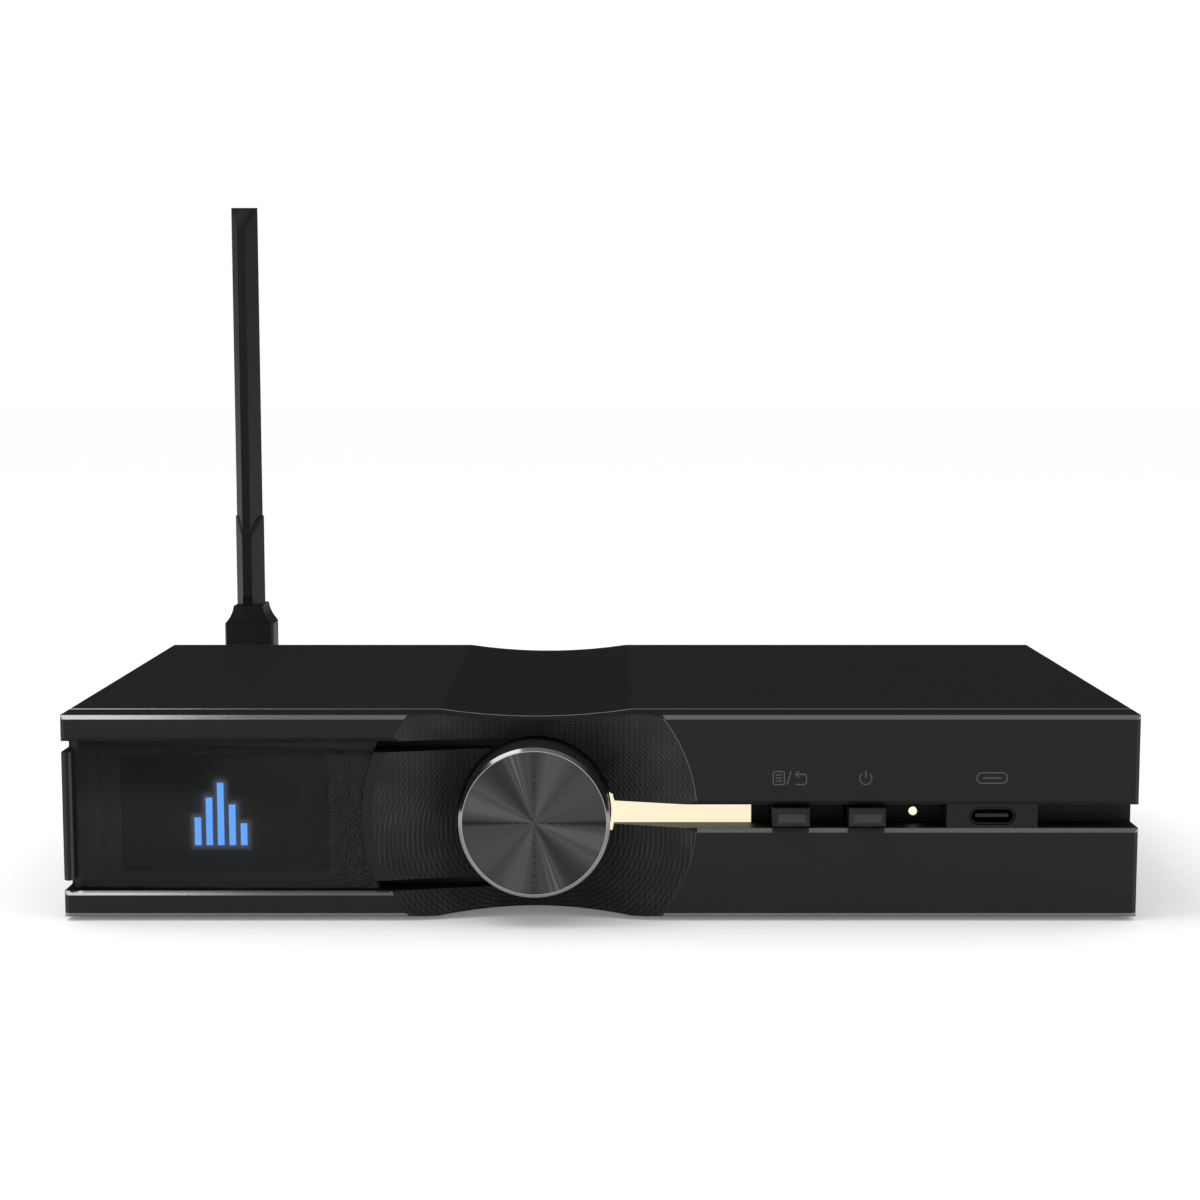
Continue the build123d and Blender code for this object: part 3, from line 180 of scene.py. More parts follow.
class Finish:
    """A material that is being made."""

    def __init__(self, name):
        self.material = bpy.data.materials.new(name)
        self.material.use_nodes = True
        self.tree = self.material.node_tree
        self.shader = self.tree.nodes["Principled BSDF"]
        self.place = self.add("ShaderNodeTexCoord", None, None, "Object")
        self.x = self.add("ShaderNodeSeparateXYZ", None, {0: self.place})
        self.y = self.x.pick(1)
        self.z = self.x.pick(2)

    def add(self, kind, settings=None, inputs=None, output=0):
        """Adds a node: its settings first, then the values or links of its sockets."""
        node = self.tree.nodes.new(kind)
        for key, value in (settings or {}).items():
            setattr(node, key, value)
        for key, value in (inputs or {}).items():
            if isinstance(value, Socket):
                self.tree.links.new(value.socket, node.inputs[key])
            else:
                node.inputs[key].default_value = value
        return Socket(self, node.outputs[output])

    def noise(self, size, detail=2.0, roughness=0.5, place=None):
        """Noise whose cells are about one size across, in metres, from 0 to 1."""
        inputs = {"Vector": place or self.place, "Scale": 1 / size, "Detail": detail, "Roughness": roughness}
        return self.add("ShaderNodeTexNoise", None, inputs)

    def stretched(self, factors):
        """Object coordinates scaled by a factor along each axis."""
        return self.add("ShaderNodeMapping", None, {"Vector": self.place, "Scale": factors})

    def mix(self, factor, first, second):
        """A colour between two colours."""
        settings = {"data_type": "RGBA"}
        inputs = {0: factor, 6: rgba(first), 7: rgba(second)}
        return self.add("ShaderNodeMix", settings, inputs, 2)

    def bump(self, height, distance):
        """A normal from a height between 0 and 1 that stands for a real distance."""
        return self.add("ShaderNodeBump", None, {"Height": height, "Distance": distance, "Strength": 1.0})

    def wear(self, **sockets):
        """Sets the shader's sockets, named with underscores for spaces, and returns the material."""
        for name, value in sockets.items():
            socket = self.shader.inputs[name.replace("_", " ")]
            if isinstance(value, Socket):
                self.tree.links.new(value.socket, socket)
            else:
                socket.default_value = value
        return self.material


def rgba(colour):
    """A colour with its alpha, or a link unchanged."""
    if isinstance(colour, Socket):
        return colour
    return (*colour[:3], 1.0)


def scaled(colour, factor):
    """A colour made lighter or darker by a factor."""
    return tuple(part * factor for part in colour[:3])


def moulded(name, colour, roughness=0.5, grain=0.3, depth=0.02, specular=0.3, spread=0.25):
    """Moulded plastic or rubber: a fine spark texture, with slow changes of colour and gloss. Sizes in mm."""
    finish = Finish(name)
    texture = finish.noise(grain * MM, 3.0)
    drift = finish.noise(14 * MM)
    tone = texture * 0.5 + drift * 0.5
    return finish.wear(
        Base_Color=finish.mix(tone, scaled(colour, 1 - spread), scaled(colour, 1 + spread)),
        Roughness=roughness - 0.08 + drift * 0.1 + texture * 0.06,
        Specular_IOR_Level=specular,
        Normal=finish.bump(texture, depth * MM),
    )


def antenna_finish(name, colour):
    """Satin black plastic. Painted light makes the knuckle and the lowest part of the mast a shade lighter,
    against the shade they stand in.
    """
    above_mast = 200.0
    finish = Finish(name)
    texture = finish.noise(0.2 * MM, 3.0)
    drift = finish.noise(14 * MM)
    # painted light: lighter low down, to lift the knuckle and the mast's base out of their shade
    lightened_foot = 1 - (finish.z / MM).between(FOOT_TOP, above_mast, 0.5)
    tone = texture * 0.3 + drift * 0.3 + lightened_foot * 0.4
    return finish.wear(
        Base_Color=finish.mix(tone, scaled(colour, 0.8), scaled(colour, 1.9)),
        Roughness=0.44 + drift * 0.08,
        Specular_IOR_Level=0.12,
        Normal=finish.bump(texture, 0.006 * MM),
    )


def plated(name, colour, roughness=0.28, grain=0.5, depth=0.004, spread=0.12):
    """Bare or plated metal: fine scratches along X and slow changes of gloss."""
    finish = Finish(name)
    scratches = finish.noise(grain * MM, 4.0, 0.6, finish.stretched((0.15, 1.0, 2.0)))
    drift = finish.noise(6 * MM)
    return finish.wear(
        Base_Color=finish.mix(drift, scaled(colour, 1 - spread), scaled(colour, 1 + spread)),
        Metallic=1.0,
        Roughness=roughness - 0.05 + scratches * 0.12 + drift * 0.06,
        Normal=finish.bump(scratches, depth * MM),
    )


def blasted(name, sizes, bevels=None, valley_shade=0.0):
    """Black anodised aluminium, fine blasted.

    bevels gives a mask of the cut edges, from the finish, which get a painted highlight. The last argument is
    how much painted shade darkens the valley.
    """
    finish = Finish(name)
    grain = finish.noise(0.16 * MM, 2.0)
    drift = finish.noise(30 * MM)
    # painted shade: the valley in the top is painted darker than the flats either side
    shaded_valley = abs(finish.x - KNOB.x) / MM < VALLEY_HALF_WIDTH
    plain = finish.mix(grain * 0.6 + drift * 0.4, scaled(sizes.casing, 0.8), scaled(sizes.casing, 1.2))
    colour = finish.mix(shaded_valley * valley_shade, plain, (0.0, 0.0, 0.0))
    rough = 0.44 + grain * 0.08 + drift * 0.05
    sockets = {"Base_Color": colour, "Roughness": rough, "Specular_IOR_Level": 0.25}
    # painted highlight: the cut edges get a lighter colour, with metal and gloss, for the light they catch
    if bevels:
        edge = bevels(finish)
        sockets["Base_Color"] = finish.mix(edge, colour, scaled(sizes.bevel, 1.9))
        sockets["Roughness"] = rough - edge * 0.36
        sockets["Metallic"] = edge * 0.9
    return finish.wear(Normal=finish.bump(grain, 0.006 * MM), **sockets)


def seam_bevel_highlight(finish):
    """The small bevels where the sleeve meets the panels, which get a painted highlight."""
    depth = (finish.y - FRONT_Y) / MM
    front = depth.between(PANEL_DEPTH - 0.05, PANEL_DEPTH + SEAM_BEVEL, 0.02)
    back_depth = (REAR_LOW.y - FRONT_Y) / MM
    back = depth.between(back_depth - SEAM_BEVEL + 0.03, back_depth - 0.03, 0.03)
    return front + back


def rear_bevel_highlight(finish):
    """The bevel round the back, which gets a painted highlight."""
    depth = (REAR_Y - finish.y) / MM
    at_sides = abs(finish.x) > PANEL_HIGH.x - EDGE_BEVEL * MM
    outside = at_sides + (abs(finish.z - AXIS_Z) > REAR_BEVEL_START * MM)
    return depth.between(0.03, EDGE_BEVEL - 0.03, 0.03) * outside.clamped()


def front_finish(sizes):
    """The front panel: blasted faces, turned marks in the dish, and painted highlights on the dish's marks, on
    its rim and on the cut bevels.
    """
    cone_margin = 0.12
    ring_pitch = 0.5
    weave_pitch = 0.64
    lean = 0.3
    lift = 0.18
    rim_width = 0.3
    rim_depth = 0.35
    finish = Finish("casing_black_front")
    depth = (finish.y - FRONT_Y) / MM
    across = (finish.x - KNOB.x) / MM
    up = (finish.z - AXIS_Z) / MM
    radius = (across * across + up * up).root()
    slope = DISH_DEPTH / (DISH_RADIUS - WELL_RADIUS)
    on_cone = abs(depth - (DISH_RADIUS - radius) * slope) < cone_margin
    dish = on_cone * (radius < DISH_RADIUS - 0.02) * (radius > WELL_RADIUS - 0.2)
    grain = finish.noise(0.16 * MM, 2.0)
    drift = finish.noise(30 * MM)
    plain = finish.mix(grain * 0.6 + drift * 0.4, scaled(sizes.casing, 0.8), scaled(sizes.casing, 1.2))
    # turning marks: round rings, and two leaning sets that cross, all stronger in some patches
    ring = (radius * (TURN / ring_pitch)).sine() * 0.5 + 0.5
    arcs = ((radius + across * lean + up * lift) * (TURN / weave_pitch)).sine() * 0.5 + 0.5
    weave = ((radius - across * lean + up * lift) * (TURN / weave_pitch)).sine() * 0.5 + 0.5
    patches = finish.noise(8 * MM, 1.0)
    # painted highlight: the turned marks are lighter where the dish runs level, left and right of the knob, in
    # patches
    level = (1 - abs(up) / radius) ** 3 * 0.25
    marks = ring * 0.25 + arcs * weave * 0.75
    tone = (marks * (patches * 1.5 - 0.05) + level * (patches - 0.3)).clamped()
    turned = finish.mix(tone, scaled(sizes.dish, 0.45), scaled(sizes.dish, 4.4))
    colour = finish.mix(dish, plain, turned)
    # cut edges, with a painted highlight: the front bevel is lighter on upward edges and along the bottom, the
    # seam bevel all round
    outside = radius > DISH_RADIUS + 0.08
    right_side = across > 0
    slot_edge = up.between(-SLOT_HALF - EDGE_BEVEL, -SLOT_HALF, 0.02) * right_side
    opening_edge = up.between(-OPENING_HALF - EDGE_BEVEL, -OPENING_HALF, 0.02) * (1 - right_side)
    outer_edge = abs(up) > CASE_HALF - EDGE_BEVEL + 0.02
    highlight_edges = (slot_edge + opening_edge + outer_edge).clamped()
    ends = abs(finish.x) / MM < CASE_WIDTH / 2 - 0.1
    front_bevel_highlight = depth.between(0.02, EDGE_BEVEL - 0.02, 0.03) * outside * highlight_edges * ends
    seam = depth.between(PANEL_DEPTH - SEAM_BEVEL + 0.03, PANEL_DEPTH - 0.03, 0.03)
    rim = radius.between(DISH_RADIUS - rim_width, DISH_RADIUS + 0.05, 0.06) * (depth < rim_depth) * dish
    edge = (front_bevel_highlight + seam).clamped()
    colour = finish.mix(edge, colour, sizes.bevel)
    # painted highlight along the dish's rim, on the right of the knob, stronger above the axis
    colour = finish.mix(rim * right_side * ((up > 0) * 0.16 + 0.06), colour, sizes.bevel)
    relief = grain * (1 - dish) + marks * dish
    return finish.wear(
        Base_Color=colour,
        Metallic=(edge * 0.9).clamped(),
        Roughness=0.46 + grain * 0.06 - edge * 0.4 - dish * 0.06,
        Specular_IOR_Level=0.25,
        Normal=finish.bump(relief, 0.008 * MM),
    )


def spun_face(sizes):
    """The knob's face: painted radial highlights and painted dark streaks of a spun finish, over fine rings.
    """
    groove_pitch = 0.3
    chevron_pitch = 1.3
    ripple_pitch = 1.7
    finish = Finish("knob_grey_face")
    across = (finish.x - KNOB.x) / MM
    up = (finish.z - KNOB.z) / MM
    radius = (across * across + up * up).root() + 0.001
    east = across / radius
    north = up / radius
    # angle anticlockwise from the right in degrees, sharpness, strength: each pair of beams is opposite
    beams = (
        (109, 3600, 0.75), (104, 2600, 0.3), (114, 1800, 0.24), (163, 160, 0.3), (169, 900, 0.14),
        (157, 900, 0.12), (147, 300, 0.16), (70, 70, 0.2), (78, 800, 0.1), (35, 30, 0.06),
        (126, 50, -0.2), (90, 500, -0.14), (0, 1600, -0.34), (179, 500, -0.1), (52, 300, -0.06),
    )
    light = 0.3
    for angle, sharpness, strength in beams:
        direction = math.radians(angle)
        along = abs(east * math.cos(direction) + north * math.sin(direction))
        light = ((along - 1) * sharpness).grown() * strength + light
    inputs = {"W": radius, "Scale": 5.0, "Detail": 3.0}
    rings = finish.add("ShaderNodeTexNoise", {"noise_dimensions": "1D"}, inputs)
    near_vertical = ((abs(north) - 1) * 70).grown()
    near_level = ((abs(east) - 1) * 110).grown()
    chevrons = ((abs(up) - abs(across) * 2.6) * (TURN / chevron_pitch)).sine() * near_vertical
    ripples = ((abs(across) - abs(up) * 3.0) * (TURN / ripple_pitch)).sine() * near_level
    light = (light + chevrons * 0.16 + ripples * 0.12 + rings * 0.16 - 0.1).clamped()
    grooves = (radius * (TURN / groove_pitch)).sine() * 0.5 + 0.5
    return finish.wear(
        Base_Color=finish.mix(light, scaled(sizes.knob, 0.2), scaled(sizes.knob, 2.5)),
        Metallic=0.35,
        Roughness=0.42 + rings * 0.12,
        Specular_IOR_Level=0.3,
        Normal=finish.bump(grooves, 0.004 * MM),
    )


def turned_side(name, colour, roughness, metallic):
    """Turned metal with rings along Y: the knob's side and its cut rim."""
    finish = Finish(name)
    rings = finish.noise(0.25 * MM, 3.0, 0.6, finish.stretched((0.02, 1.0, 0.02)))
    drift = finish.noise(5 * MM)
    return finish.wear(
        Base_Color=finish.mix(rings * 0.6 + drift * 0.4, scaled(colour, 0.8), scaled(colour, 1.2)),
        Metallic=metallic,
        Roughness=roughness + rings * 0.08,
        Specular_IOR_Level=0.3,
        Normal=finish.bump(rings, 0.003 * MM),
    )


def smoked_window(sizes):
    """A smoked gloss pane with the faintest dust."""
    finish = Finish("window_smoke")
    dust = finish.noise(0.4 * MM, 3.0)
    return finish.wear(
        Base_Color=finish.mix(dust, scaled(sizes.window, 0.8), scaled(sizes.window, 1.2)),
        Roughness=0.2 + dust * 0.05,
        Alpha=0.4,
        Specular_IOR_Level=0.3,
        Normal=finish.bump(dust, 0.0005 * MM),
    )


def screen_finish(sizes, bars, lit_area):
    """The display's face: a dark active area, and a tight painted glow round each lit bar. Boxes in mm."""
    row_pitch = 0.3
    finish = Finish("display_glow_screen")
    across = finish.x / MM
    up = finish.z / MM

    def distance(box):
        centre_x, centre_z, half_width, half_height = box
        away_x = (abs(across - centre_x) - half_width).maths("MAXIMUM", 0.0)
        away_z = (abs(up - centre_z) - half_height).maths("MAXIMUM", 0.0)
        return (away_x * away_x + away_z * away_z).root()

    nearest = distance(bars[0])
    for bar in bars[1:]:
        nearest = nearest.maths("MINIMUM", distance(bar))
    # painted glow: the unlit screen gives off light round each bar, for the halo round the lit graphic
    painted_glow = (nearest * nearest * -1.6).grown() * 0.2 + (nearest * -0.7).grown() * 0.03
    rows = (up * (TURN / row_pitch)).sine() * 0.5 + 0.5
    outside = (distance(lit_area) - SCREEN_CORNER) > 0
    ground = finish.mix(rows, scaled(sizes.screen, 0.8), scaled(sizes.screen, 1.2))
    return finish.wear(
        Base_Color=finish.mix(outside, ground, scaled(sizes.plastic, 2.8)),
        Roughness=0.4 + rows * 0.04,
        Specular_IOR_Level=0.1,
        Emission_Color=finish.mix(painted_glow, (0.0, 0.0, 0.0), (0.62, 0.75, 1.0)),
        Emission_Strength=1.0,
    )


def lit(name, colour, strength, fade=0.0):
    """A lit diffuser. fade dims it towards its right end."""
    fade_length = 45
    finish = Finish(name)
    cloud = finish.noise(2.0 * MM)
    run = ((finish.x - KNOB.x) / MM / fade_length).clamped()
    tone = (cloud * 0.15 + run * fade).clamped()
    return finish.wear(
        Base_Color=finish.mix(cloud, scaled(colour, 0.1), scaled(colour, 0.12)),
        Roughness=0.5 + cloud * 0.1,
        Specular_IOR_Level=0.2,
        Emission_Color=finish.mix(tone, colour, scaled(colour, 0.86)),
        Emission_Strength=strength,
    )


def circuit_board(name, colour):
    """Solder mask with tracks that show through it as a slight relief."""
    finish = Finish(name)
    inputs = {"Vector": finish.place, "Scale": 1 / (1.3 * MM)}
    cells = finish.add("ShaderNodeTexVoronoi", {"distance": "CHEBYCHEV", "feature": "F1"}, inputs)
    tracks = cells.between(0.25, 0.45, 0.04)
    drift = finish.noise(12 * MM)
    return finish.wear(
        Base_Color=finish.mix(tracks * 0.7 + drift * 0.2, colour, scaled(colour, 2.1)),
        Roughness=0.3 + drift * 0.1,
        Normal=finish.bump(tracks, 0.03 * MM),
    )


def flat_cable(name, colour):
    """Flat cable with its conductors side by side along X."""
    finish = Finish(name)
    wires = (finish.x * (TURN / MM)).sine() * 0.5 + 0.5
    grain = finish.noise(0.5 * MM)
    return finish.wear(
        Base_Color=finish.mix(wires * 0.8 + grain * 0.2, scaled(colour, 0.7), colour),
        Roughness=0.4 + grain * 0.1,
        Normal=finish.bump(wires, 0.05 * MM),
    )


def capacitor_finish(name, colour):
    """Dark sleeves with bare tops, on upright cans."""
    finish = Finish(name)
    top = finish.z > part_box("filter_capacitors")[1].z - CAN_TOP_BAND * MM
    grain = finish.noise(0.6 * MM)
    return finish.wear(
        Base_Color=finish.mix(top, finish.mix(grain, colour, scaled(colour, 1.4)), (0.55, 0.55, 0.56)),
        Metallic=top * 0.9,
        Roughness=0.32 + grain * 0.08,
        Normal=finish.bump(grain, 0.005 * MM),
    )


FINISHES = {}
DRESSED = set()


def finish_for(slot_name, sizes):
    """The material of a slot of the record, made when it is first asked for."""
    if slot_name in FINISHES:
        return FINISHES[slot_name]
    makers = {
        "casing_black": lambda name: blasted(name, sizes),
        "knob_grey": lambda name: turned_side(name, scaled(sizes.knob, 0.35), 0.4, 0.4),
        "window_smoke": lambda name: smoked_window(sizes),
        "display_glow": lambda name: lit(name, sizes.glow, 3.2),
        "black_plastic": lambda name: moulded(name, sizes.plastic, 0.5, 0.25, 0.012, 0.25),
        "light_cream": lambda name: lit(name, sizes.light, 1.0, 0.1),
        "antenna_black": lambda name: antenna_finish(name, sizes.antenna),
        "rubber_black": lambda name: moulded(name, (0.012, 0.012, 0.012), 0.75, 0.4, 0.02, 0.15),
        "plated_steel": lambda name: plated(name, (0.55, 0.55, 0.56)),
        "black_steel": lambda name: plated(name, (0.045, 0.045, 0.047), 0.4),
        "gold": lambda name: plated(name, (0.83, 0.58, 0.25), 0.2),
        "white_plastic": lambda name: moulded(name, (0.72, 0.72, 0.69), 0.4),
        "red_plastic": lambda name: moulded(name, (0.5, 0.02, 0.02), 0.4),
        "orange_plastic": lambda name: moulded(name, (0.72, 0.22, 0.02), 0.4),
        "board_green": lambda name: circuit_board(name, (0.012, 0.05, 0.032)),
        "chip_black": lambda name: moulded(name, (0.018, 0.018, 0.018), 0.55, 0.2, 0.02),
        "cable_white": lambda name: flat_cable(name, (0.7, 0.7, 0.67)),
        "bare_aluminium": lambda name: plated(name, (0.7, 0.7, 0.71), 0.35, 0.8, 0.01),
        "capacitor_sleeve": lambda name: capacitor_finish(name, (0.02, 0.03, 0.08)),
    }
    FINISHES[slot_name] = makers[slot_name](slot_name)
    return FINISHES[slot_name]


# ---- making pieces ----
def dress(node, material):
    """Gives a CAD node that stays its finish."""
    DRESSED.add(node)
    piece = frame["nodes"][node]
    if not piece.material_slots:
        piece.data.materials.append(material)
    for material_slot in piece.material_slots:
        material_slot.material = material


def piece_from(shape, name, body, materials, sharp=35, flat_above=None):
    """Makes a piece from a bmesh that rides on a body. Sharp edges, and faces above an area, stay flat."""
    mesh = bpy.data.meshes.new(name)
    shape.to_mesh(mesh)
    shape.free()
    mesh.shade_smooth()
    mesh.set_sharp_from_angle(angle=math.radians(sharp))
    if flat_above:
        for face in mesh.polygons:
            face.use_smooth = face.area < flat_above
    piece = bpy.data.objects.new(name, mesh)
    bpy.context.scene.collection.objects.link(piece)
    for material in materials:
        mesh.materials.append(material)
    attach(piece, body)
    return piece


def lathe(shape, profile, centre, steps=128):
    """Spins a profile of (radius, y) points about the line along Y through a centre."""
    verts = [shape.verts.new((centre.x + radius, y, centre.z)) for radius, y in profile]
    edges = [shape.edges.new(pair) for pair in zip(verts, verts[1:])]
    bmesh.ops.spin(
        shape, geom=verts + edges, cent=centre, axis=(0, 1, 0), dvec=(0, 0, 0),
        angle=TURN, steps=steps, use_merge=True, use_normal_flip=False, use_duplicate=False,
    )
    bmesh.ops.remove_doubles(shape, verts=shape.verts, dist=0.001 * MM)
    bmesh.ops.recalc_face_normals(shape, faces=shape.faces)


def block(shape, low, high, round_off=0.0, segments=2):
    """Adds a box between two corners, with its edges rounded."""
    low = Vector(low)
    high = Vector(high)
    size = high - low
    place = Matrix.Translation((low + high) / 2) @ Matrix.Diagonal((*size, 1.0))
    made = bmesh.ops.create_cube(shape, size=1.0, matrix=place)
    if round_off:
        edges = {edge for vert in made["verts"] for edge in vert.link_edges}
        bmesh.ops.bevel(
            shape, geom=list(edges), offset=round_off, offset_type="OFFSET", affect="EDGES",
            segments=segments, profile=0.5, material=-1, clamp_overlap=True,
        )


def rounded_copy(node, width, segments=2, sharp=24):
    """A bmesh copy of a CAD node with its doubles merged and its sharp edges rounded."""
    shape = bmesh.new()
    shape.from_mesh(frame["nodes"][node].data)
    bmesh.ops.remove_doubles(shape, verts=shape.verts, dist=0.002 * MM)
    bmesh.ops.dissolve_limit(
        shape, angle_limit=math.radians(0.5), verts=shape.verts, edges=shape.edges,
        use_dissolve_boundaries=False,
    )
    limit = math.radians(sharp)
    edges = [e for e in shape.edges if len(e.link_faces) == 2 and e.calc_face_angle(0.0) > limit]
    bmesh.ops.bevel(
        shape, geom=edges, offset=width, offset_type="OFFSET", affect="EDGES",
        segments=segments, profile=0.5, material=-1, clamp_overlap=True,
    )
    bmesh.ops.triangulate(shape, faces=[face for face in shape.faces if len(face.verts) > 4])
    return shape


def stroke(points, width, depth, y, closed=False):
    """A flat printed line along points of (x, z), as a mesh that stands depth proud of a plane at y."""
    curve = bpy.data.curves.new("stroke", "CURVE")
    curve.dimensions = "3D"
    curve.bevel_depth = width / 2
    curve.bevel_resolution = 1
    curve.use_fill_caps = True
    spline = curve.splines.new("POLY")
    spline.points.add(len(points) - 1)
    for point, (x, z) in zip(spline.points, points):
        point.co = (x, 0.0, z, 1.0)
    spline.use_cyclic_u = closed
    holder = bpy.data.objects.new("stroke", curve)
    mesh = bpy.data.meshes.new_from_object(holder)
    bpy.data.objects.remove(holder)
    bpy.data.curves.remove(curve)
    mesh.transform(Matrix.Translation((0, y, 0)) @ Matrix.Diagonal((1, depth / (width / 2), 1, 1)))
    return mesh


def arc(centre, radius, start, end, steps=24):
    """Points along an arc in the XZ plane, with angles in degrees from the right, anticlockwise."""
    angles = [math.radians(start + (end - start) * step / steps) for step in range(steps + 1)]
    return [(centre[0] + radius * math.cos(a), centre[1] + radius * math.sin(a)) for a in angles]


def round_box(centre, width, height, radius, steps=6):
    """Points round a rectangle with round corners."""
    points = []
    for start, sx, sz in ((0, 1, 1), (90, -1, 1), (180, -1, -1), (270, 1, -1)):
        corner = (centre[0] + sx * (width / 2 - radius), centre[1] + sz * (height / 2 - radius))
        points += arc(corner, radius, start, start + 90, steps)
    return points


# ---- sizes and colours that a user would change ----
class DacLooks(bpy.types.PropertyGroup):
    """Colours and small sizes of the DAC's finish."""

    casing: bpy.props.FloatVectorProperty(
        name="Casing", description="Anodised casing",
        subtype="COLOR", size=3, default=(0.0098, 0.0098, 0.01),
    )
    dish: bpy.props.FloatVectorProperty(
        name="Dish", description="Turned dish round the knob",
        subtype="COLOR", size=3, default=(0.012, 0.012, 0.0122),
    )
    # painted highlight: the bevels' colour is lighter to stand in for the light that the cut edges catch
    bevel: bpy.props.FloatVectorProperty(
        name="Cut bevels", description="Freshly cut edges",
        subtype="COLOR", size=3, default=(0.26, 0.26, 0.265),
    )
    knob: bpy.props.FloatVectorProperty(
        name="Knob", description="Spun face of the knob",
        subtype="COLOR", size=3, default=(0.062, 0.062, 0.063),
    )
    window: bpy.props.FloatVectorProperty(
        name="Window", description="Smoked pane",
        subtype="COLOR", size=3, default=(0.004, 0.004, 0.0042),
    )
    screen: bpy.props.FloatVectorProperty(
        name="Screen", description="Unlit area of the display",
        subtype="COLOR", size=3, default=(0.0035, 0.0035, 0.0036),
    )
    plastic: bpy.props.FloatVectorProperty(
        name="Plastic", description="Black plastic pieces",
        subtype="COLOR", size=3, default=(0.012, 0.012, 0.0122),
    )
    antenna: bpy.props.FloatVectorProperty(
        name="Antenna", description="Antenna's plastic",
        subtype="COLOR", size=3, default=(0.011, 0.011, 0.0115),
    )
    glow: bpy.props.FloatVectorProperty(
        name="Display light", description="Lit graphic",
        subtype="COLOR", size=3, default=(0.105, 0.33, 1.0),
    )
    light: bpy.props.FloatVectorProperty(
        name="Guide light", description="Light guide and lamp",
        subtype="COLOR", size=3, default=(1.0, 0.863, 0.631),
    )
    mark: bpy.props.FloatVectorProperty(
        name="Printed marks", description="Marks over the controls",
        subtype="COLOR", size=3, default=(0.085, 0.085, 0.085),
    )
    edge_round: bpy.props.FloatProperty(
        name="Edge round", description="Rounding of moulded edges",
        default=0.05 * MM, min=0.0, unit="LENGTH",
    )
    mark_width: bpy.props.FloatProperty(
        name="Mark width", description="Width of the printed lines",
        default=0.26 * MM, min=0.0, unit="LENGTH",
    )


class DacStage(bpy.types.PropertyGroup):
    """The studio round the DAC."""

    floor: bpy.props.FloatVectorProperty(
        name="Floor", description="Colour of the floor",
        subtype="COLOR", size=3, default=(0.9, 0.9, 0.9),
    )
    sky: bpy.props.FloatProperty(
        name="Sky", description="Even light from all sides", default=0.95, min=0.0,
    )
    key_power: bpy.props.FloatProperty(
        name="Key light", description="Power of the softbox at the upper left, in watts",
        default=3.0, min=0.0,
    )
    lens: bpy.props.FloatProperty(
        name="Lens", description="Focal length in millimetres", default=80.27, min=1.0,
    )


# ---- operators, one for each piece or group of like pieces ----
class DAC_OT_casing(bpy.types.Operator):
    """Finish the casing's panels and screws"""

    bl_idname = "dac.casing"
    bl_label = "Casing"

    def execute(self, context):
        looks = context.scene.dac_looks
        dress("front_panel", front_finish(looks))
        dress("sleeve", blasted("casing_black_sleeve", looks, seam_bevel_highlight, 0.4))
        dress("rear_panel", blasted("casing_black_rear", looks, rear_bevel_highlight))
        for node in ("tie_screws", "rubber_feet"):
            dress(node, finish_for(SLOT_OF[node], looks))
        return {"FINISHED"}


class DAC_OT_knob(bpy.types.Operator):
    """Make the volume knob with its spun face and cut rim"""

    bl_idname = "dac.knob"
    bl_label = "Volume knob"

    def execute(self, context):
        looks = context.scene.dac_looks
        low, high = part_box("volume_knob")
        radius = (high.x - low.x) / 2
        front = low.y
        pocket_radius = 8.0 * MM
        pocket_front = high.y - 5.8 * MM
        bore = 3.0 * MM
        bore_front = front + 3.9 * MM
        rim = 0.62 * MM
        face_sink = 0.1 * MM
        back_bevel = 0.3 * MM
        ridge = radius - rim
        profile = (
            (0.0, front + face_sink),
            (ridge - 0.3 * MM, front + face_sink),
            (ridge - 0.24 * MM, front + 0.02 * MM),
            (ridge - 0.16 * MM, front),
            (ridge, front),
            (radius, front + rim),
            (radius, high.y - back_bevel),
            (radius - back_bevel, high.y),
            (pocket_radius, high.y),
            (pocket_radius, pocket_front),
            (bore, pocket_front),
            (bore, bore_front),
            (0.0, bore_front),
        )
        shape = bmesh.new()
        lathe(shape, profile, Vector((KNOB.x, 0, KNOB.z)), 160)
        # three finishes: the face, the rim and the rest
        for face in shape.faces:
            centre = face.calc_center_median()
            away = math.hypot(centre.x - KNOB.x, centre.z - KNOB.z)
            if centre.y < front + 0.12 * MM and away < ridge - 0.2 * MM:
                face.material_index = 0
            elif centre.y < front + rim and away > ridge - 0.32 * MM:
                face.material_index = 1
            else:
                face.material_index = 2
        materials = (
            spun_face(looks),
            turned_side("knob_grey_rim", (0.3, 0.3, 0.31), 0.1, 1.0),
            finish_for("knob_grey", looks),
        )
        knob = piece_from(shape, "knob_spun", BODY_OF["volume_knob"], materials, 28)
        # the bore of the grub screw
        screw_low, screw_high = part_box("knob_grub_screw")
        centre = (screw_low + screw_high) / 2
        bore_radius = (screw_high.x - screw_low.x) / 2
        cutter_shape = bmesh.new()
        place = Matrix.Translation((centre.x, centre.y, KNOB.z - radius / 2))
        bmesh.ops.create_cone(
            cutter_shape, cap_ends=True, segments=32, radius1=bore_radius, radius2=bore_radius,
            depth=radius + MM, matrix=place,
        )
        carve(knob, cutter_shape)
        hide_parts("volume_knob")
        for node in ("knob_grub_screw", "encoder_shaft", "encoder_push_plate", "encoder_nut", "encoder_body"):
            dress(node, finish_for(SLOT_OF[node], looks))
        return {"FINISHED"}


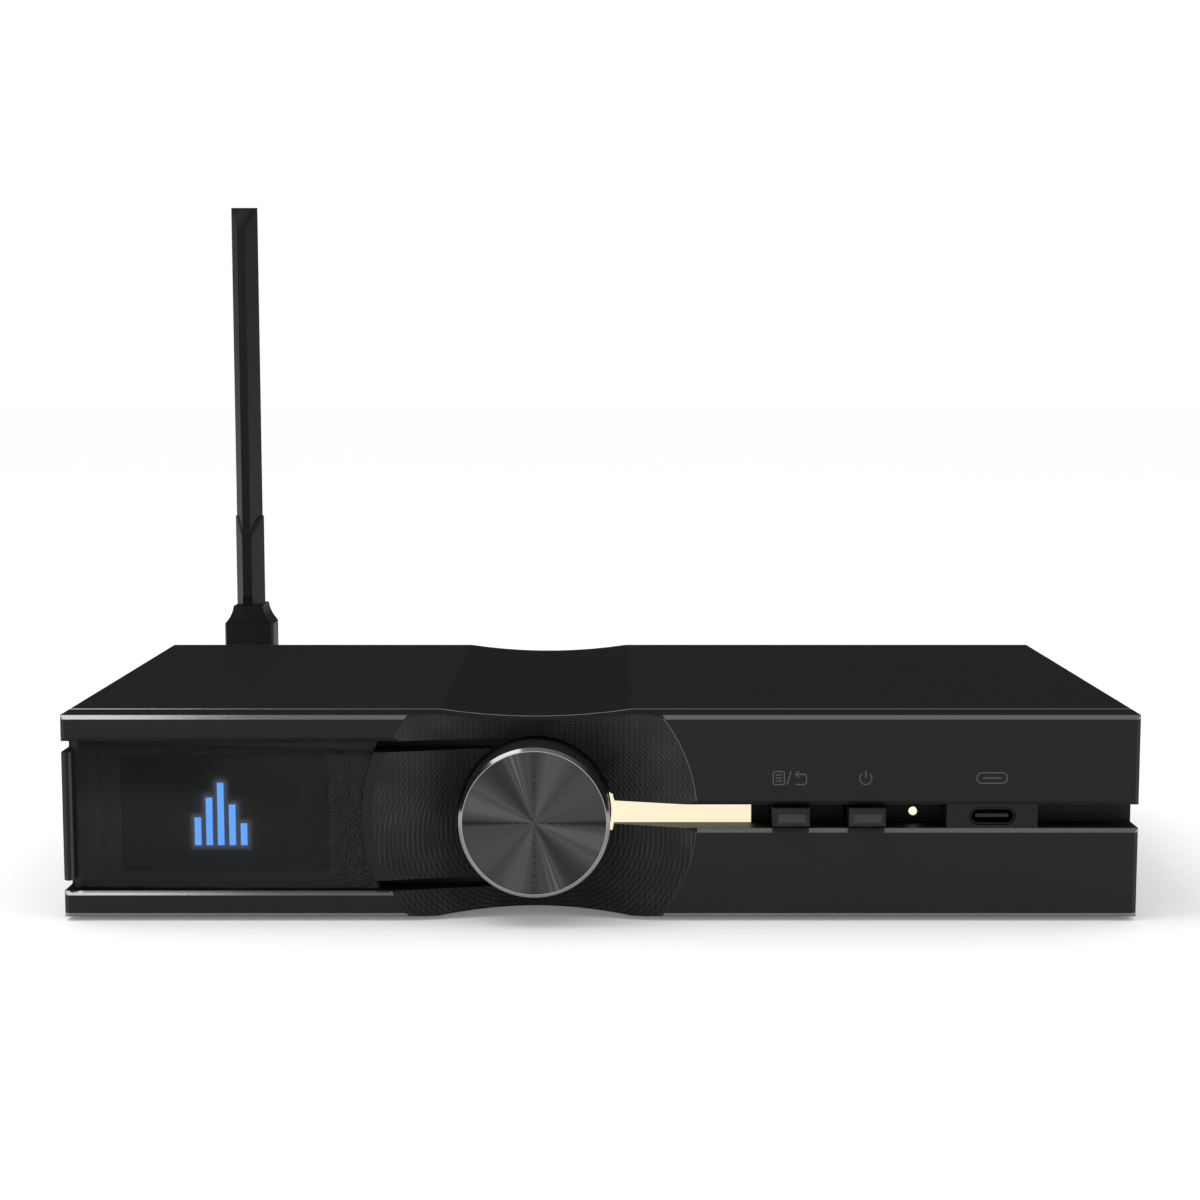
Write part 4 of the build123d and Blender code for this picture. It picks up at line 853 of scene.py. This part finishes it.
def carve(piece, cutter_shape):
    """Cuts a bmesh out of a piece and keeps the result as its mesh."""
    mesh = bpy.data.meshes.new("cutter")
    cutter_shape.to_mesh(mesh)
    cutter_shape.free()
    cutter = bpy.data.objects.new("cutter", mesh)
    bpy.context.scene.collection.objects.link(cutter)
    cut = piece.modifiers.new("cut", "BOOLEAN")
    cut.object = cutter
    cut.operation = "DIFFERENCE"
    cut.solver = "EXACT"
    bpy.context.view_layer.update()
    depsgraph = bpy.context.evaluated_depsgraph_get()
    result = bpy.data.meshes.new_from_object(piece.evaluated_get(depsgraph))
    piece.modifiers.clear()
    piece.data = result
    bpy.data.objects.remove(cutter)


class DAC_OT_display(bpy.types.Operator):
    """Make the window, the display's face and its lit graphic"""

    bl_idname = "dac.display"
    bl_label = "Display"

    def execute(self, context):
        looks = context.scene.dac_looks
        window_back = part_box("display_window")[1].y
        screen_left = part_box("oled_module")[0].x
        gap = 0.5 * MM
        shape = rounded_copy("display_window", 0.06 * MM)
        # the pane's back moves forward, which leaves room for the graphic
        behind = [vert for vert in shape.verts if vert.co.y > window_back - 0.2 * MM]
        bmesh.ops.translate(shape, vec=(0, -gap, 0), verts=behind)
        smoke = finish_for("window_smoke", looks)
        window = piece_from(shape, "window_pane", "casing", [smoke])
        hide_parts("display_window")
        # a lit graphic of five level bars, in the gap between the window and the display's face
        graphic_x = screen_left + 24.05 * MM
        bar_width = 1.3 * MM
        bar_depth = 0.15 * MM
        bar_round = 0.07 * MM
        pitch = 2.3 * MM
        heights = (5.6, 9.6, 12.6, 8.2, 4.4)
        drop = 6.3
        front = window_back - 0.3 * MM
        bottom = AXIS_Z - drop * MM
        bars = bmesh.new()
        bar_boxes = []
        for index, height in enumerate(heights):
            x = graphic_x + (index - 2) * pitch
            low = (x - bar_width / 2, front, bottom)
            high = (x + bar_width / 2, front + bar_depth, bottom + height * MM)
            block(bars, low, high, bar_round)
            bar_boxes.append((x / MM, AXIS_Z / MM - drop + height / 2, bar_width / MM / 2, height / 2))
        piece_from(bars, "display_graphic", "casing", [finish_for("display_glow", looks)])
        # the active area, in millimetres: its centre, then half its size less the round of its corners
        lit_area = (-75.1, AXIS_Z / MM + 0.2, 20.8 - SCREEN_CORNER, 11.9 - SCREEN_CORNER)
        dress("oled_module", screen_finish(looks, bar_boxes, lit_area))
        frame_plastic = moulded("black_plastic_carrier", scaled(looks.plastic, 2.8), 0.45, 0.3, 0.006)
        dress("display_carrier", frame_plastic)
        dress("display_ribbon", finish_for("cable_white", looks))
        return {"FINISHED"}


class DAC_OT_controls(bpy.types.Operator):
    """Make the buttons, the light guide, the lamp and the front port"""

    bl_idname = "dac.controls"
    bl_label = "Front controls"

    def execute(self, context):
        looks = context.scene.dac_looks
        for node in ("menu_button", "power_button"):
            shape = rounded_copy(node, looks.edge_round)
            plastic = moulded("black_plastic_" + node, scaled(looks.plastic, 0.8), 0.34, 0.25, 0.004, 0.6)
            flat = 2 * MM**2
            cap = piece_from(shape, node + "_cap", BODY_OF[node], [plastic], flat_above=flat)
            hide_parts(node)
        dress("light_guide", finish_for("light_cream", looks))
        lamp = lit("light_cream_lamp", (1.0, 0.9, 0.68), 1.1)
        dress("lamp_lens", lamp)
        dress("board_leds", lamp)
        dark = moulded("black_plastic_insert", scaled(looks.plastic, 0.25), 0.5, 0.3, 0.01, 0.15)
        dress("slot_insert", dark)
        # the port: a dark shell, and a tongue with its contacts
        dress("usb_c_receptacle", plated("black_steel_port", (0.02, 0.02, 0.021), 0.32))
        dress("usb_c_tongue", finish_for("chip_black", looks))
        low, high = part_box("usb_c_tongue")
        contacts = bmesh.new()
        count = 12
        half = 0.1 * MM
        thickness = 0.04 * MM
        start = low.y + 0.5 * MM
        end = low.y + 4 * MM
        for index in range(count):
            x = low.x + (high.x - low.x) * (index + 0.5) / count
            for bottom in (high.z, low.z - thickness):
                block(contacts, (x - half, start, bottom), (x + half, end, bottom + thickness), 0.01 * MM, 1)
        piece_from(contacts, "port_contacts", "casing", [finish_for("gold", looks)])
        return {"FINISHED"}


class DAC_OT_marks(bpy.types.Operator):
    """Print the small marks over the controls"""

    bl_idname = "dac.marks"
    bl_label = "Printed marks"

    def execute(self, context):
        looks = context.scene.dac_looks
        width = looks.mark_width
        proud = 0.03 * MM
        menu = middle("menu_button")
        power = middle("power_button")
        port = middle("usb_c_receptacle")
        level = AXIS_Z + 7.8 * MM
        shift = 0.35 * MM
        material = moulded("printed_grey", looks.mark, 0.6, 0.2, 0.002, 0.2)

        def at(points, centre_x):
            return [(centre_x + x * MM, level + z * MM) for x, z in points]

        page = menu.x - 2.55 * MM
        arrow = menu.x + 1.75 * MM
        menu_strokes = [(at(round_box((0, 0), 2.2, 2.6, 0.35), page), True)]
        for line_z in (-0.6, 0.0, 0.6):
            menu_strokes.append((at([(-0.6, line_z), (0.6, line_z)], page), False))
        menu_strokes.append((at([(-0.95, -1.4), (-0.1, 1.4)], menu.x), False))
        hook = [(-0.9, 0.75), (0.6, 0.75)]
        hook += arc((0.6, 0.15), 0.6, 90, 0, 6)
        hook += arc((0.6, -0.7), 0.6, 0, -90, 6)
        menu_strokes.append((at(hook + [(-0.9, -1.3)], arrow), False))
        menu_strokes.append((at([(-0.3, 1.35), (-1.05, 0.75), (-0.3, 0.15)], arrow), False))
        power_strokes = [
            (at(arc((0, -0.1), 1.2, 128, 412), power.x - shift), False),
            (at([(0, 1.45), (0, 0.1)], power.x - shift), False),
        ]
        port_strokes = [
            (at(round_box((0, 0), 6.0, 2.1, 1.0), port.x - shift), True),
            (at([(-1.9, 0), (1.9, 0)], port.x - shift), False),
        ]
        marks = (("menu_mark", menu_strokes), ("power_mark", power_strokes), ("port_mark", port_strokes))
        for name, strokes in marks:
            shape = bmesh.new()
            for points, closed in strokes:
                mesh = stroke(points, width, proud, FRONT_Y, closed)
                shape.from_mesh(mesh)
                bpy.data.meshes.remove(mesh)
            bmesh.ops.recalc_face_normals(shape, faces=shape.faces)
            piece_from(shape, name, "casing", [material])
        return {"FINISHED"}


class DAC_OT_antenna(bpy.types.Operator):
    """Make the antenna's mast, knuckle and connector"""

    bl_idname = "dac.antenna"
    bl_label = "Antenna"

    def execute(self, context):
        looks = context.scene.dac_looks
        black = finish_for("antenna_black", looks)
        for node in ("antenna_mast", "antenna_knuckle"):
            shape = rounded_copy(node, 2.5 * looks.edge_round)
            flat = 4 * MM**2
            skin = piece_from(shape, node + "_skin", BODY_OF[node], [black], 30, flat)
            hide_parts(node)
        fittings = (
            "antenna_hinge_pin", "antenna_jack", "antenna_jack_nut", "antenna_coupling_nut", "antenna_lead",
        )
        for node in fittings:
            dress(node, finish_for(SLOT_OF[node], looks))
        return {"FINISHED"}


class DAC_OT_sockets(bpy.types.Operator):
    """Finish the sockets on the back and make their contacts"""

    bl_idname = "dac.sockets"
    bl_label = "Rear sockets"

    def execute(self, context):
        looks = context.scene.dac_looks
        nodes = (
            "xlr_outputs", "xlr_pins", "rca_housings", "rca_shells", "rca_insulator_left",
            "rca_insulator_right", "coax_insulator",
            "optical_socket", "usb_b_socket", "lan_socket", "dc_socket", "dc_pin",
        )
        for node in nodes:
            dress(node, finish_for(SLOT_OF[node], looks))
        # eight contact wires in the network socket
        low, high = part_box("lan_socket")
        wires = bmesh.new()
        centre_x = (low.x + high.x) / 2
        pitch = 1.02 * MM
        half = 0.17 * MM
        start = high.y - 11.5 * MM
        end = high.y - 2 * MM
        bottom = high.z - 3.6 * MM
        top = high.z - 3.25 * MM
        count = 8
        for index in range(count):
            x = centre_x + (index - (count - 1) / 2) * pitch
            block(wires, (x - half, start, bottom), (x + half, end, top), 0.05 * MM, 1)
        piece_from(wires, "lan_contacts", "casing", [finish_for("gold", looks)])
        return {"FINISHED"}


class DAC_OT_inside(bpy.types.Operator):
    """Finish the boards and what stands on them"""

    bl_idname = "dac.inside"
    bl_label = "Inside"

    def execute(self, context):
        looks = context.scene.dac_looks
        for node, piece in frame["nodes"].items():
            if node not in DRESSED and not piece.hide_render:
                dress(node, finish_for(SLOT_OF[node], looks))
        return {"FINISHED"}


class DAC_OT_stage(bpy.types.Operator):
    """Make the floor, the lights and the camera"""

    bl_idname = "dac.stage"
    bl_label = "Stage"

    def execute(self, context):
        scene = context.scene
        stage = scene.dac_stage
        shape = bmesh.new()
        bmesh.ops.create_grid(shape, x_segments=2, y_segments=2, size=FLOOR_HALF)
        mesh = bpy.data.meshes.new("floor")
        shape.to_mesh(mesh)
        shape.free()
        floor = bpy.data.objects.new("floor", mesh)
        scene.collection.objects.link(floor)
        finish = Finish("floor")
        cloud = finish.noise(0.4)
        colour = finish.mix(cloud, scaled(stage.floor, 0.99), stage.floor)
        mesh.materials.append(finish.wear(
            Base_Color=colour, Roughness=0.9, Specular_IOR_Level=0.05,
            Emission_Color=(1.0, 1.0, 1.0, 1.0), Emission_Strength=FLOOR_GLOW,
        ))
        make_world(scene, stage)
        make_light("key_softbox", KEY_PLACE, KEY_SIZE, stage.key_power)
        camera_data = bpy.data.cameras.new("camera")
        camera_data.lens = stage.lens
        camera_data.sensor_width = SENSOR_WIDTH
        camera_data.shift_y = CAMERA_SHIFT
        camera = bpy.data.objects.new("camera", camera_data)
        scene.collection.objects.link(camera)
        camera.location = (CAMERA_X, FRONT_Y - CAMERA_BACK, CAMERA_HEIGHT)
        camera.rotation_euler = (math.radians(90 - CAMERA_PITCH), 0, 0)
        scene.camera = camera
        scene.view_settings.view_transform = "Standard"
        return {"FINISHED"}


def make_light(name, place, size, power):
    """A soft panel that faces down."""
    data = bpy.data.lights.new(name, "AREA")
    data.shape = "RECTANGLE"
    data.size, data.size_y = size
    data.energy = power
    light = bpy.data.objects.new(name, data)
    light.location = place
    light.visible_camera = False
    bpy.context.scene.collection.objects.link(light)


def make_world(scene, stage):
    """White behind the object, even light from all sides, and gloss sees a dark room, lighter above."""
    ceiling_start = 0.6
    dark_room = 0.03
    ceiling_light = 0.4
    world = bpy.data.worlds.new("studio")
    world.use_nodes = True
    scene.world = world
    nodes = world.node_tree.nodes
    links = world.node_tree.links
    nodes.clear()
    path = nodes.new("ShaderNodeLightPath")
    place = nodes.new("ShaderNodeTexCoord")
    axes = nodes.new("ShaderNodeSeparateXYZ")
    links.new(place.outputs["Generated"], axes.inputs[0])
    ceiling = nodes.new("ShaderNodeMapRange")
    ceiling.inputs["From Min"].default_value = ceiling_start
    ceiling.inputs["From Max"].default_value = 1.0
    ceiling.inputs["To Min"].default_value = dark_room
    ceiling.inputs["To Max"].default_value = ceiling_light
    links.new(axes.outputs[2], ceiling.inputs["Value"])
    gloss = nodes.new("ShaderNodeMix")
    gloss.inputs[2].default_value = stage.sky
    links.new(path.outputs["Is Glossy Ray"], gloss.inputs[0])
    links.new(ceiling.outputs[0], gloss.inputs[3])
    seen = nodes.new("ShaderNodeMix")
    seen.inputs[3].default_value = 1.0
    links.new(path.outputs["Is Camera Ray"], seen.inputs[0])
    links.new(gloss.outputs[0], seen.inputs[2])
    background = nodes.new("ShaderNodeBackground")
    links.new(seen.outputs[0], background.inputs["Strength"])
    output = nodes.new("ShaderNodeOutputWorld")
    links.new(background.outputs[0], output.inputs[0])
    background.inputs["Color"].default_value = (1.0, 1.0, 1.0, 1.0)


OPERATORS = (
    DAC_OT_casing,
    DAC_OT_knob,
    DAC_OT_display,
    DAC_OT_controls,
    DAC_OT_marks,
    DAC_OT_antenna,
    DAC_OT_sockets,
    DAC_OT_inside,
    DAC_OT_stage,
)


class DAC_PT_panel(bpy.types.Panel):
    """Lists the pieces of the DAC in the sidebar"""

    bl_idname = "DAC_PT_panel"
    bl_label = "Desktop DAC"
    bl_space_type = "VIEW_3D"
    bl_region_type = "UI"
    bl_category = "DAC"

    def draw(self, context):
        for group in (context.scene.dac_looks, context.scene.dac_stage):
            for name in group.bl_rna.properties.keys():
                if name not in ("rna_type", "name"):
                    self.layout.prop(group, name)
        for operator in OPERATORS:
            self.layout.operator(operator.bl_idname)


CLASSES = (DacLooks, DacStage, *OPERATORS, DAC_PT_panel)


def register():
    for each in CLASSES:
        bpy.utils.register_class(each)
    bpy.types.Scene.dac_looks = bpy.props.PointerProperty(type=DacLooks)
    bpy.types.Scene.dac_stage = bpy.props.PointerProperty(type=DacStage)


def unregister():
    del bpy.types.Scene.dac_stage
    del bpy.types.Scene.dac_looks
    for each in reversed(CLASSES):
        bpy.utils.unregister_class(each)


def main():
    register()
    for operator in OPERATORS:
        group, name = operator.bl_idname.split(".")
        getattr(getattr(bpy.ops, group), name)()


if __name__ == "__main__":
    main()
